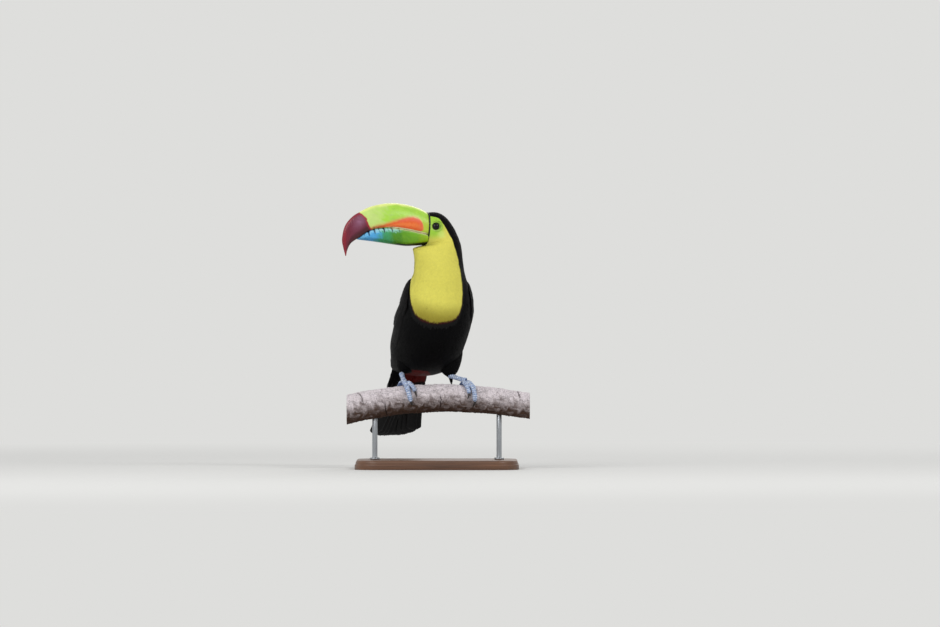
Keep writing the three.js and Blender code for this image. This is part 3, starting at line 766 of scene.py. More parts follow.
# The feathers' finishes: millimetres between barbs, how much the barbs change the colour, sheen,
# roughness, how much the patches change the colour, millimetres of relief and specular level.
PLUMAGE = {
    "silky feather": (0.8, 0.03, 0.03, 0.66, 0.04, 0.03, 0.15),  # pale, soft and nearly matt
    "black feather": (0.8, 0.05, 0.006, 0.55, 0.12, 0.05, 0.055),  # close, with a dull gloss
    "flight feather": (1.1, 0.08, 0.004, 0.54, 0.12, 0.04, 0.05),  # stiff, with coarser barbs
    "tail feather": (1.1, 0.1, 0.01, 0.46, 0.14, 0.06, 0.16),  # the stiffest and glossiest
}


def feather(name):
    """Feather keratin: a central shaft and slanting barbs, seen as fine light and dark lines in
    each vane, with a soft sheen. Barbs of a real vane lie about 0.3 mm apart; they are drawn
    about three times as coarse, so that they show. The colour varies in patches of 4 mm."""
    barb, strength, sheen, rough, mottle, relief, specular = PLUMAGE[name]
    keratin = {"Sheen Weight": sheen, "Sheen Roughness": 0.4, "IOR": 1.54}
    material, tree, surface = surface_of(name, {**keratin, "Specular IOR Level": specular})
    flat = add(tree, "SeparateXYZ", {"Vector": add(tree, "UVMap", uv_map="Vane")})
    off_shaft = add(tree, "Math", {0: flat.outputs[0]}, operation="ABSOLUTE")
    run = {0: off_shaft, 1: BARB_SLANT, 2: flat.outputs[1]}
    slant = add(tree, "Math", run, operation="MULTIPLY_ADD")
    phase = add(tree, "Math", {0: slant, 1: 2 * np.pi / barb}, operation="MULTIPLY")
    barbs = add(tree, "Math", {0: phase}, operation="SINE")
    patches = {"Vector": add(tree, "TexCoord").outputs["Object"], "Scale": 260, "Detail": 3}
    patch = add(tree, "TexNoise", {**patches, "Roughness": 0.6})
    span = {"Value": patch, **NOISE_SPAN}
    wear_and_painted_light = add(tree, "MapRange", {**span, "To Min": 1 - mottle, "To Max": 1 + mottle})
    wave = {"Value": barbs, "From Min": -1, "From Max": 1}
    lines = add(tree, "MapRange", {**wave, "To Min": 1 - strength, "To Max": 1 + strength})
    tone = add(tree, "Math", {0: wear_and_painted_light, 1: lines}, operation="MULTIPLY")
    near = {"Value": off_shaft, "From Min": 0.1, "From Max": 0.4}
    shaft = add(tree, "MapRange", {**near, "To Min": 1, "To Max": 0})
    height = add(tree, "Math", {0: shaft, 1: 1.5, 2: barbs}, operation="MULTIPLY_ADD")
    bump = {"Height": height, "Strength": 0.5, "Distance": relief * MM}
    gloss = {**span, "To Min": rough - 0.07, "To Max": rough + 0.07}
    dress(tree, surface, toned_tint(tree, tone), bump, gloss)
    return material


def tinted(name, inputs, patches, grit, rough):
    """A surface coloured by its own tint, in patches of a size in millimetres that change it by
    a share, and roughened by grit of a size and a height in millimetres. The finish varies with
    the patches."""
    material, tree, surface = surface_of(name, inputs)
    place = {"Vector": add(tree, "TexCoord").outputs["Object"]}
    scale, share = 1 / (patches[0] * MM), patches[1]
    patch = add(tree, "TexNoise", {**place, "Scale": scale, "Detail": 4, "Roughness": 0.6})
    span = {"Value": patch, **NOISE_SPAN}
    tone = add(tree, "MapRange", {**span, "To Min": 1 - share, "To Max": 1 + share})
    scale = 1 / (grit[0] * MM)
    grain = add(tree, "TexNoise", {**place, "Scale": scale, "Detail": 3, "Roughness": 0.55})
    bump = {"Height": grain, "Strength": 0.6, "Distance": grit[1] * MM}
    gloss = {**span, "To Min": rough - 0.06, "To Max": rough + 0.06}
    dress(tree, surface, toned_tint(tree, tone), bump, gloss)
    return material


def oiled_walnut(light, dark):
    """Oiled walnut, sawn along the grain and rubbed with oil: long uneven dark streaks a few
    millimetres apart, short pores and a satin finish."""
    material, tree, surface = surface_of(
        "oiled walnut", {"IOR": 1.5, "Coat Weight": 0.15, "Coat Roughness": 0.3}
    )
    # Stretched along the board and leaning a little out of it, as a plank's grain does.
    sawn = {"Scale": (0.05, 1, 1), "Rotation": (0.35, 0, 0.03)}
    place = add(tree, "Mapping", {"Vector": add(tree, "TexCoord").outputs["Object"], **sawn})
    rough_grain = {"Scale": 75, "Detail": 6, "Roughness": 0.62, "Distortion": 0.5}
    grain = add(tree, "TexNoise", {"Vector": place, **rough_grain})
    along = add(tree, "Mapping", {"Vector": place, "Scale": (0.5, 1, 1)})
    pores = add(tree, "TexNoise", {"Vector": along, "Scale": 900, "Detail": 2})
    both = add(tree, "Math", {0: pores, 1: 0.3, 2: grain}, operation="MULTIPLY_ADD")
    stops = [(0.45, dark), (0.85, light), (0.62, mix(dark, light, 0.55))]
    bump = {"Height": pores, "Strength": 0.3, "Distance": 0.08 * MM}
    gloss = {"Value": pores, "To Min": 0.38, "To Max": 0.55}
    dress(tree, surface, add(tree, "ValToRGB", {"Fac": both}, stops), bump, gloss)
    return material


def brushed_steel(colour):
    """Stainless steel rod, brushed along its length: long scratches that blur what it mirrors,
    drawn 0.4 mm apart, which is coarser than real ones, so that they show."""
    material, tree, surface = surface_of("brushed stainless steel", {"Metallic": 1.0})
    object_place = add(tree, "TexCoord").outputs["Object"]
    place = add(tree, "Mapping", {"Vector": object_place, "Scale": (1, 1, 0.03)})
    scratches = add(tree, "TexNoise", {"Vector": place, "Scale": 2500, "Detail": 2})
    stops = [(0.3, np.array(colour) * 0.8), (0.7, colour)]
    bump = {"Height": scratches, "Strength": 0.25, "Distance": 0.02 * MM}
    gloss = {"Value": scratches, "To Min": 0.25, "To Max": 0.42}
    dress(tree, surface, add(tree, "ValToRGB", {"Fac": scratches}, stops), bump, gloss)
    return material


# ------------------------ settings


def shade(name, code, description):
    """A colour a user can change, with its default given as a hex code."""
    limits = dict(subtype="COLOR", size=3, min=0, max=1)
    return FloatVectorProperty(
        name=name, description=description, default=linear(code), **limits
    )


def length(name, millimetres, description):
    """A length a user can change, in metres, with its default in millimetres."""
    metres = dict(subtype="DISTANCE", unit="LENGTH", min=0, default=millimetres * MM)
    return FloatProperty(name=name, description=description, **metres)


def watts(name, default, description):
    """A lamp's power that a user can change."""
    power = dict(subtype="POWER", unit="POWER", min=0, default=default)
    return FloatProperty(name=name, description=description, **power)


class ToucanPlumage(bpy.types.PropertyGroup):
    """Colours of the feathers and how thickly they lie."""

    bib: shade("Bib", "#DFD761", "Throat and breast")
    # The colour of the painted shade at the bib's lower end
    bib_shaded_low: shade("Bib, lower end", "#8E8226", "Where the bib meets the black breast")
    face: shade("Face", "#A2D044", "Round the eye and in front of it")
    pale_face: shade("Pale face", "#D2E87E", "Just below and behind the eye")
    black: shade("Black", "#040405", "Body, wings and tail")
    nape: shade("Nape", "#10080B", "Back of the neck")
    edge: shade("Wing edges", "#171314", "Margins of the wing's feathers")
    red: shade("Undertail", "#5A0D0B", "Coverts under the tail's root")
    rump: shade("Rump", "#E9E4CC", "Coverts over the tail's root")
    layers: FloatProperty(
        name="Layers", description="How many feathers cover each place", default=4.6, min=1, max=8
    )
    seed: IntProperty(name="Seed", description="Start of the random draws", default=7, min=0)


class ToucanBareParts(bpy.types.PropertyGroup):
    """Colours of the bill, eye and feet."""

    green: shade("Bill green", "#A6D544", "Sides of the upper bill")
    # The ridge's colour is a painted highlight: the light along the top of the bill.
    rim: shade("Bill ridge", "#E6F08C", "Ridge of the upper bill")
    orange: shade("Bill orange", "#E66022", "Patch along the upper bill")
    maroon: shade("Bill tip", "#6A2138", "Tip of the upper bill")
    lower: shade("Lower bill", "#6BA61A", "Base of the lower bill")
    blue: shade("Lower bill blue", "#4CA6E0", "Front of the lower bill")
    eye: shade("Eye", "#0E0D09", "Iris")
    eye_ring: shade("Eye ring", "#B9DC6E", "Rim of the bare skin round the eye")
    foot: shade("Foot", "#93A5C6", "Scales of the feet")
    # Painted highlight on the tops of the scales; the creases' colour, darkened, also paints shade
    # on the toes' sides and underside
    wear_and_painted_light: shade("Foot scales, worn", "#E6EAEE", "Tops of the scales")
    crease: shade("Foot creases", "#2E4A80", "Skin between the scales")
    claw: shade("Claw", "#2A2523", "Claws")


class ToucanMount(bpy.types.PropertyGroup):
    """The perch's and the stand's finishes."""

    # The top is painted lighter, as lit from above, and the underside darker, as in shade; the bark
    # mixes them by how far it faces up
    bark_lit_top: shade("Bark, top", "#D6CDD1", "Weathered upper side")
    bark_under: shade("Bark, underside", "#4C392F", "Shaded underside")
    sapwood: shade("Cut wood", "#C9A878", "Sawn ends of the perch")
    walnut_light: shade("Walnut, light", "#6F4A31", "Display base")
    walnut_dark: shade("Walnut, dark", "#4A2F1F", "Dark grain of the display base")
    steel: shade("Steel", "#A9ADB2", "Rods")
    bark_relief: length("Bark relief", 0.9, "Height of the bark's unevenness")
    moulding: length("Moulding", 4.0, "Width of the base's moulded edge")


class ToucanStage(bpy.types.PropertyGroup):
    """Floor, background and light."""

    floor: shade("Floor", "#DEDEDC", "Floor and background")
    sky: FloatProperty(
        name="Ambient light", description="Light from all round", default=0.55, min=0
    )
    key: watts("Key light", 34, "Large soft lamp at the front left")
    fill: watts("Fill light", 14, "Soft lamps at the front right and behind")


# ------------------------ skin and feet


def sweep(centres, radius, up, sides):
    """Rings round a path: at each point a circle of the radius, square to the path, its first
    direction level with `up`. Also gives the direction over the path at each point."""
    way = unit(np.gradient(centres, axis=0))
    side = unit(np.cross(way, up))
    over = np.cross(side, way)
    phi = full_turn(sides)[None, :, None]
    ring = side[:, None, :] * np.cos(phi) + over[:, None, :] * np.sin(phi)
    return centres[:, None, :] + np.asarray(radius)[:, None, None] * ring, over


def toe_centres(leg, toe, u, thickness):
    """The middle line of a toe or claw, lying on the perch at a height of its own thickness."""
    x, angle = between(np.column_stack(toe[:2]).astype(float), u).T
    return perch_point(leg["foot"][0] + x * leg["out"], np.radians(angle), thickness + GAP)


def toes_of(side):
    """The four toes of one foot."""
    return {**TOES, **RIGHT_FRONT} if side == "right" else TOES


def foot_bones(side):
    """Middle lines, radii and upward directions of one shank and its four toes."""
    leg = LEGS[side]
    ankle, foot = np.array(leg["ankle"], float), np.array(leg["foot"], float)
    stops = np.stack([ankle + 0.3 * (ankle - foot), ankle, mix(foot, ankle, 0.45), foot])
    t = np.linspace(0, 1, 60)
    pad = mix(mix(4, 3.4, ease(t, 0, 0.6)), 4.6, ease(t, 0.65, 0.95))
    blunt = np.sqrt(np.maximum(1 - ease(t, 0.93, 1.03) ** 2, 0.05))
    forward = np.broadcast_to((0.0, -1.0, 0.35), (len(t), 3))
    bones = [(between(stops, 3 * t), pad * blunt, forward)]
    for toe in toes_of(side).values():
        u = np.linspace(0, 2, 70)
        thickness = toe[2] * mix(TOE_BASE, TOE_TIP, u / 2)
        centres = toe_centres(leg, toe, u, thickness)
        blunt = np.sqrt(np.maximum(1 - ease(u / 2, 0.86, 1.04) ** 2, 0))
        radius = thickness * blunt * (1 - 0.06 * np.cos(3 * np.pi * u))
        bones.append((centres, radius, centres - perch_centre(centres[:, 0])))
    return bones


def read_out(items, name, per_item, kind):
    """One attribute of a mesh's points or corners as a whole array."""
    values = np.empty(len(items) * per_item, kind)
    items.foreach_get(name, values)
    return values


def fused(points, faces, size):
    """One closed skin round overlapping closed tubes: a remesh at `size` millimetres, smoothed.
    Gives its points, the directions out of it and its quads."""
    mesh = write_mesh("fusing", points, faces)
    obj = bpy.data.objects.new("fusing", mesh)
    bpy.context.scene.collection.objects.link(obj)
    remesh = obj.modifiers.new("fuse", "REMESH")
    remesh.mode, remesh.voxel_size = "VOXEL", size * MM
    smooth = obj.modifiers.new("smooth", "SMOOTH")
    smooth.factor, smooth.iterations = 0.5, 6
    made = obj.evaluated_get(bpy.context.evaluated_depsgraph_get()).to_mesh()
    places = read_out(made.vertices, "co", 3, np.float32).reshape(-1, 3).astype(float) / MM
    normals = read_out(made.vertices, "normal", 3, np.float32).reshape(-1, 3)
    corners = read_out(made.loops, "vertex_index", 1, np.int32)
    if len(corners) != 4 * len(made.polygons):
        raise RuntimeError("the fused foot isn't all quads")
    bpy.data.objects.remove(obj)
    bpy.data.meshes.remove(mesh)
    return places, normals, corners.reshape(-1, 4)


# Of the feet: the size of the remesh's cells, the length of the plates on top of the toes and
# the width of a groove's side
FOOT_CELL, PLATE, GROOVE = 0.55, 3.1, 0.36


def scaly_foot(side, parts):
    """One bare foot: the fused shank and toes, raised into plates on top, parted by narrow grooves,
    and into small round scales below. Each point takes its run along, and its height over, the bone
    that is nearest to it. The tint darkens in the grooves. A painted highlight lightens patches on
    the plates' tops, and painted shade darkens the toes' sides and underside."""
    bones = foot_bones(side)
    tubes = [closed_tube(sweep(c, r, up, 20)[0]) for c, r, up in bones]
    points, normals, quads = fused(*joined(tubes), FOOT_CELL)
    gap, run, height = (np.full(len(points), v) for v in (1e9, 0.0, 0.0))
    for number, (centres, radius, up) in enumerate(bones):
        over, way = sweep(centres, radius, up, 4)[1], unit(np.gradient(centres, axis=0))
        steps = np.linalg.norm(np.diff(centres, axis=0), axis=1)
        so_far = np.concatenate([[0], np.cumsum(steps)])
        apart = np.linalg.norm(points[:, None, :] - centres[None], axis=-1) - radius
        nearest = apart.argmin(1)
        here = apart[np.arange(len(points)), nearest]
        off = points - centres[nearest]
        closer = here < gap
        gap = np.where(closer, here, gap)
        onward = so_far[nearest] + (off * way[nearest]).sum(1) + 0.7 * number
        run = np.where(closer, onward, run)
        height = np.where(closer, (unit(off) * over[nearest]).sum(1), height)
    plate = (run / PLATE) % 1 - 0.5
    groove = np.exp(-((np.abs(plate) * PLATE / GROOVE) ** 2))
    top = ease(height, -0.1, 0.35)
    small = np.cos(2 * np.pi * run / 2) * np.cos(2 * np.pi * height * 2.6)
    plates = 0.3 * (1 - groove) + 0.16 * (plate + 0.5) - 0.2
    relief = top * plates + (1 - top) * 0.14 * small
    crease = np.clip(top * groove + (1 - top) * 0.5 * ease(-small, 0, 0.9), 0, 1)[:, None]
    tone = 1 + 0.36 * noise(points, 5.5, 3)[:, None]
    # Painted highlight: pale patches on the tops of the plates
    raised = (top * (1 - groove) * ease(noise(points, 3.2, 4), -0.4, 0.7))[:, None]
    tint = painted(
        np.array(parts.foot) * tone,
        (parts.wear_and_painted_light, 0.7 * raised),
        (parts.crease, 0.85 * crease),
        # Painted shade on the sides and underside of the toes
        (np.array(parts.crease) * 0.8, 0.75 * (1 - top)[:, None]),
    )
    return points + normals * relief[:, None], [quads], tint


def lid_ring(side, face, rim_colour):
    """The bare ring round one eye, by distance r from the eye's middle and angle: it comes up
    out of the skin, swells to a rim and dips inside the ball, with fine folds round and across.
    It is black inside the rim."""
    step, edge = 0.02, BARE_ROUND_EYE + 2.2
    r = np.linspace(5.1, edge, 44)[:, None]
    phi = np.linspace(-np.pi, np.pi, 144)[None, :]
    spoke = r * (1 + 0.05 * np.cos(2 * phi))
    middle = body_point(EYE_ROW, EYE_ANGLE)
    per_row = np.linalg.norm(body_point(EYE_ROW + step, EYE_ANGLE) - middle) / step
    per_angle = np.linalg.norm(body_point(EYE_ROW, EYE_ANGLE + step) - middle) / step
    # The rim is 6.9 mm from the middle. Inside it the skin dips, outside it sinks into the coat.
    rim = 0.75 * np.exp(-(((r - 6.9) / 0.75) ** 2))
    dip = -4.4 * ease(-r, -6.7, -5.2)
    outer = -1.8 * ease(r, 7.6, edge)
    folds = 0.12 * np.sin(2 * np.pi * r / 1.1 + 0.6 * np.sin(3 * phi)) * ease(r, 7.0, 8.0)
    pleats = 0.1 * np.sin(26 * phi + 2 * np.sin(2 * phi)) * np.exp(-(((r - 7.6) / 1.2) ** 2))
    u = EYE_ROW + spoke * np.cos(phi) / per_row
    theta = EYE_ANGLE + spoke * np.sin(phi) / per_angle
    points = body_point(u, side * theta, rim + dip + outer + folds + pleats)
    quads = grid_faces(*points.shape[:2])
    dark = (1 - ease(r, 6.1, 6.6))[..., None] + 0 * phi[..., None]
    shadow = 0.8 + 0.2 * ease(folds + pleats, -0.15, 0.1)[..., None]
    bright = (np.exp(-(((r - 7.3) / 1.0) ** 2)) * (0.5 - 0.4 * np.sin(phi)))[..., None]
    tint = painted(np.array(face) * shadow, (rim_colour, bright), ("#0A0D07", dark))
    return (points.reshape(-1, 3), [quads if side > 0 else quads[:, ::-1]]), tint.reshape(-1, 3)


THIGH_TOP = -0.55  # where a thigh begins inside the body, as a share of hip to knee
THIGH_DEPTH = -3.0  # how deep its skin lies under its feathers


class TOUCAN_OT_skin(bpy.types.Operator):
    """Skin of the body, thighs and bare scaly feet, with the lids and folds round the eyes"""

    bl_idname = "toucan.skin"
    bl_label = "Skin and feet"

    def execute(self, context):
        plumage, parts = context.scene.toucan_plumage, context.scene.toucan_bare_parts
        u = np.linspace(0, LAST_ROW, 230)[:, None]
        theta = full_turn(180, -np.pi)[None, :]
        shown = markings(u + 0 * theta, theta + 0 * u, plumage) * 0.7
        ends = np.stack([shown[0].mean(0), shown[-1].mean(0)])
        pieces = [closed_tube(body_point(u, theta, -coat_depth(u)))]
        tints = [np.concatenate([shown.reshape(-1, 3), ends])]
        for side, leg in LEGS.items():
            t = np.linspace(THIGH_TOP, 1, 40)[:, None]
            thigh = closed_tube(thigh_point(leg)(t, full_turn(40, -np.pi)[None, :], THIGH_DEPTH))
            *foot, foot_tint = scaly_foot(side, parts)
            pieces += [thigh, foot]
            tints += [np.tile(np.array(plumage.black), (len(thigh[0]), 1)), foot_tint]
        for side in (1, -1):
            ring, tint = lid_ring(side, np.array(plumage.face) * 0.9, parts.eye_ring)
            pieces.append(ring)
            tints.append(tint)
        # Bare skin of a bird's face and feet: fine grained, a little moist, softly glossy.
        look = {"IOR": 1.45, "Specular IOR Level": 0.4}
        skin = tinted("bare bird skin", look, patches=(3.0, 0.14), grit=(0.7, 0.08), rough=0.5)
        flesh = ["trunk", "neck", "head"]
        for side in LEGS:
            flesh += [f"thigh_{side}", f"shank_{side}", *(f"toe_{side}_{toe}" for toe in TOES)]
        add_piece("skin", *joined(pieces), skin, "foot_skin", flesh, tint=np.concatenate(tints))
        return {"FINISHED"}


# ------------------------ coat


def under_wing(u, theta):
    """True where a folded wing hides the body."""
    hidden = np.zeros(np.broadcast(u, theta).shape, bool)
    for out, (row, _, _) in SHOULDERS.items():
        p = (row - u) / (row - WING_TO)
        low, high = (wing_on_body(out, np.clip(p, 0, 1), q)[1] for q in (0.0, 1.0))
        q = (out * wrapped(theta) - low) / (high - low)
        hidden |= (p > 0.05) & (p < 0.93) & (q > 0.1) & (q < 0.86)
    return hidden


def coat_roots(layers):
    """Even places for the body's feathers: as many as cover each patch `layers` times with
    vanes of the length wanted there, more in the bib and on the dark neck beside it, and none
    on the bare skin or under a wing."""
    rows, cols, step, turn = 380, 240, 0.05, 0.01
    back = (np.arange(rows) + 0.5)[:, None] * COAT_LONGEST / rows
    theta = mix(-np.pi, np.pi, (np.arange(cols) + 0.5) / cols)[None, :]
    u, points = row_at(back, theta), coat_point(back, theta)
    slope_back = (coat_point(back + step, theta) - points) / step
    slope_theta = (coat_point(back, theta + turn) - points) / turn
    area = np.linalg.norm(np.cross(slope_back, slope_theta), axis=-1)
    area = area * (COAT_LONGEST / rows) * (2 * np.pi / cols)
    near_eye, yellow = from_eye(points), in_bib(u, theta)
    size = feather_length(u, theta, near_eye)
    shown = (u > -1.3) & (near_eye > BARE_ROUND_EYE - 0.8) & ~under_wing(u, theta)
    layers = layers * np.where(yellow, np.where(u > FACE_FROM, 1.5, 1.7), 1)
    layers = layers * np.where((u > 11.5) & (u < 14.5) & ~yellow, 1.3, 1)
    weight = np.where(shown, area * layers / (0.62 * feather_width(u) * size**2), 0)
    roots = scatter(weight, ((0, COAT_LONGEST), (-np.pi, np.pi)), int(weight.sum()))
    u, near_eye = row_at(*roots.T), from_eye(coat_point(*roots.T))
    ragged = BARE_ROUND_EYE + 0.5 * np.sin(9 * roots[:, 0]) * np.sin(40 * roots[:, 1])
    return roots[(near_eye > ragged) & ~under_wing(u, roots[:, 1])]


def feather_width(u):
    """Width of the feathers over their length, by row number."""
    return np.interp(u, [0, 7, 10, 14, 19], [0.46, 0.42, 0.36, 0.36, 0.42])


COAT_PATCH = 0.003  # size of a feather's place on the unwrapped skin
FACE_FROM, THROAT_FROM, CAP_FROM = 13.5, 10, 11  # row numbers where pieces of the coat begin
BREAST_TO = 95  # angle from the breast in degrees where the back begins
# The coat's pieces, with the number of grid rows and columns in each vane
COAT_GRIDS = {
    "coat_face": (4, 5),
    "coat_throat": (5, 7),
    "coat_bib": (5, 7),
    "coat_cap": (5, 5),
    "coat_breast": (5, 7),
    "coat_back": (5, 7),
}
YELLOW_COAT = ("coat_face", "coat_throat", "coat_bib")
# How much single feathers of the dark and of the yellow coat differ in tone, and how far along
# the body, in millimetres, they take their colour from
TONE_SPREAD, STRAY = (0.05, 0.015), (0.45, 0.2)
CHIN_LIFT = 2.2  # how much further the chin's feathers stand off, to meet the bill


def coat_region(u, theta):
    """Which piece of the coat a feather belongs to."""
    body = np.where(np.abs(np.degrees(theta)) < BREAST_TO, "coat_breast", "coat_back")
    dark = np.where(u > CAP_FROM, "coat_cap", body)
    pale = np.where(u > THROAT_FROM, "coat_throat", "coat_bib")
    return np.where(in_bib(u, theta), np.where(u > FACE_FROM, "coat_face", pale), dark)


class TOUCAN_OT_coat(bpy.types.Operator):
    """Small overlapping feathers of the face, throat, bib, cap, body and thighs"""

    bl_idname = "toucan.coat"
    bl_label = "Coat"

    def execute(self, context):
        plumage = context.scene.toucan_plumage
        draw = np.random.default_rng(plumage.seed)
        silky, glossy = feather("silky feather"), feather("black feather")
        roots = coat_roots(plumage.layers)
        u = row_at(*roots.T)
        region = coat_region(u, roots[:, 1])
        for name, grid in COAT_GRIDS.items():
            mine = region == name
            self.cover(name, roots[mine], u[mine], *grid, plumage, draw, (glossy, silky))
        for side, leg in LEGS.items():
            self.thigh(side, leg, plumage, draw, glossy)
        return {"FINISHED"}

    def cover(self, name, root, u, rows, cols, plumage, draw, materials):
        """One piece of the coat: each feather points back, a little to either side at random,
        is as long as its place asks, and stands off more under the chin."""
        n, pale, step = len(root), name in YELLOW_COAT, 0.02
        size = feather_length(u, root[:, 1], from_eye(coat_point(*root.T)))
        size = size * draw.uniform(0.85, 1.15, n)
        turn = draw.normal(0, 0.07, n)
        beside = coat_point(root[:, 0], root[:, 1] + step)
        per_angle = np.linalg.norm(beside - coat_point(*root.T), axis=-1) / step
        tip = root + np.stack([size * np.cos(turn), size * np.sin(turn) / per_angle], -1)
        half = size * feather_width(u) / 2
        chin = ease(u, 13.2, 14.6) * (1 - ease(u, 17, 18.6))
        chin = chin * (1 - ease(np.abs(root[:, 1]), 0.5, 1.1))
        high = 0.1 + draw.normal(0, 0.02, n) * size**0.5 + CHIN_LIFT * chin
        points, quads, flat, t, place = vanes(
            coat_point, root, tip, half, -coat_depth(u), high, draw, rows, cols
        )
        tone = np.repeat(draw.normal(1, TONE_SPREAD[pale], (n, 1)), rows * cols, 0)
        stray = np.repeat(draw.normal(0, STRAY[pale], n), rows * cols)
        colour = markings(row_at(place[:, 0] + stray, place[:, 1]), place[:, 1], plumage)
        corner = np.stack([(root[:, 1] + np.pi) / (2 * np.pi), root[:, 0] / COAT_LONGEST], -1)
        add_piece(
            name, points, [quads], materials[pale], "yellow_plumage" if pale else "black_plumage",
            tint=colour * tone * mix(0.86, 1, ease(t, 0.1, 0.6))[:, None],
            maps={"OFBake": vane_map(0.01 + 0.98 * corner, rows, cols, COAT_PATCH), "Vane": flat},
            smooth=outward(coat_point, place),
        )  # fmt: skip

    def thigh(self, side, leg, plumage, draw, material):
        """The feathers of one thigh: they point down, and their ends are ragged at the knee."""
        rows, cols, count = 5, 7, 1500
        weight = np.broadcast_to(np.linspace(1.3, 0.8, 40)[:, None], (40, 60))
        root = scatter(weight, ((THIGH_TOP, 0.96), (-np.pi, np.pi)), count)
        long = np.linalg.norm(np.subtract(leg["knee"], leg["hip"]))
        ragged = ease(root[:, 0], 0.6, 0.9) * draw.uniform(-0.35, 0.45, count)
        size = draw.uniform(9, 12, count) * mix(1, 0.85, root[:, 0]) * (1 + ragged)
        tip = root + np.stack([size / long, draw.normal(0, 0.08, count)], -1)
        low, high = np.full(count, THIGH_DEPTH), 0.2 + draw.normal(0, 0.1, count)
        points, quads, flat, t, _ = vanes(
            thigh_point(leg), root, tip, 0.19 * size, low, high, draw, rows, cols
        )
        colour = np.array(plumage.black) * draw.normal(1, 0.06, (count, 1))
        down = (root[:, 0] - THIGH_TOP) / (1 - THIGH_TOP)
        corner = np.stack([(root[:, 1] + np.pi) / (2 * np.pi), down], -1)
        add_piece(
            f"coat_thigh_{side}", points, [quads], material, "black_plumage",
            tint=np.repeat(colour, rows * cols, 0) * mix(0.7, 1, ease(t, 0.2, 0.75))[:, None],
            maps={"OFBake": vane_map(0.01 + 0.95 * corner, rows, cols, COAT_PATCH), "Vane": flat},
        )  # fmt: skip


# ------------------------ wings and tail


def spaced(first, last, count):
    """`count` rows of numbers from first to last in even steps."""
    return np.linspace(np.array(first, float), np.array(last, float), count)


# Each group of wing feathers: how many, and for the first and the last of them the root's and the
# tip's place on the wing, the half width and the height of the tip, in millimetres; then how deep
# the roots are tucked under the feathers in front, and each vane's grid.
WING_GROUPS = (
    (8, (0.4, 0.08, 0.84, 0.0, 6.5, -0.9), (0.46, 0.4, 1.12, 0.46, 7.5, -0.2), 3.0, (22, 11)),
    (9, (0.38, 0.2, 0.78, 0.24, 9, -0.3), (0.3, 0.86, 0.68, 0.98, 11, 0.1), 3.0, (22, 11)),
    (7, (0.26, 0.04, 0.55, 0.03, 5, -0.2), (0.27, 0.2, 0.6, 0.22, 6, -0.1), 1.6, (12, 9)),
    (10, (0.22, 0.12, 0.46, 0.12, 7, -0.2), (0.18, 0.94, 0.42, 0.98, 7.5, 0.3), 1.6, (12, 9)),
    (12, (0.13, 0.05, 0.3, 0.05, 5.5, 0.2), (0.1, 0.95, 0.27, 0.98, 6, 0.6), 1.6, (12, 9)),
)
# Small feathers scattered over the shoulder and over the mantle's edge: how many, between which
# places on the wing, the tip's place from the root, the half width, the spread of their heights,
# the tuck and the grid.
WING_SCALES = (
    (190, ((-0.01, 0.2), (0.0, 1.0)), (0.065, 0.0), 3.4, 0.12, 2.0, (6, 7)),
    (90, ((0.0, 0.42), (0.84, 1.1)), (0.11, 0.02), 4.6, 0.15, 2.2, (8, 7)),
)


def sheet_cells(first, count, per_side, rows, cols):
    """Places for baking: each large feather, numbered from first, in its own cell of a square
    sheet of per_side by per_side cells."""
    k = np.arange(first, first + count)
    middle = (np.stack([k % per_side, k // per_side], -1) + 0.5) / per_side
    return vane_map(middle - [0, 0.42 / per_side], rows, cols, 0.84 / per_side)


def quills(surface, root, tip, half, high, draw, tuck, rows, cols, **form):
    """Long feathers with a stiff vane: they rise from under their neighbours and lie flat."""
    return vanes(surface, root, tip, half, high - tuck, high, draw, rows, cols, **form)


def quill_tint(t, flat, half, colour, edge, tone, share=0.8):
    """Black with a browner margin along each side and at the tip."""
    side = np.abs(flat[:, 0]) / np.repeat(half, len(t) // len(half))
    margin = np.maximum(ease(side, 0.72, 0.98), ease(t, 0.93, 1.0))[:, None]
    return mix(colour, edge, share * margin) * tone


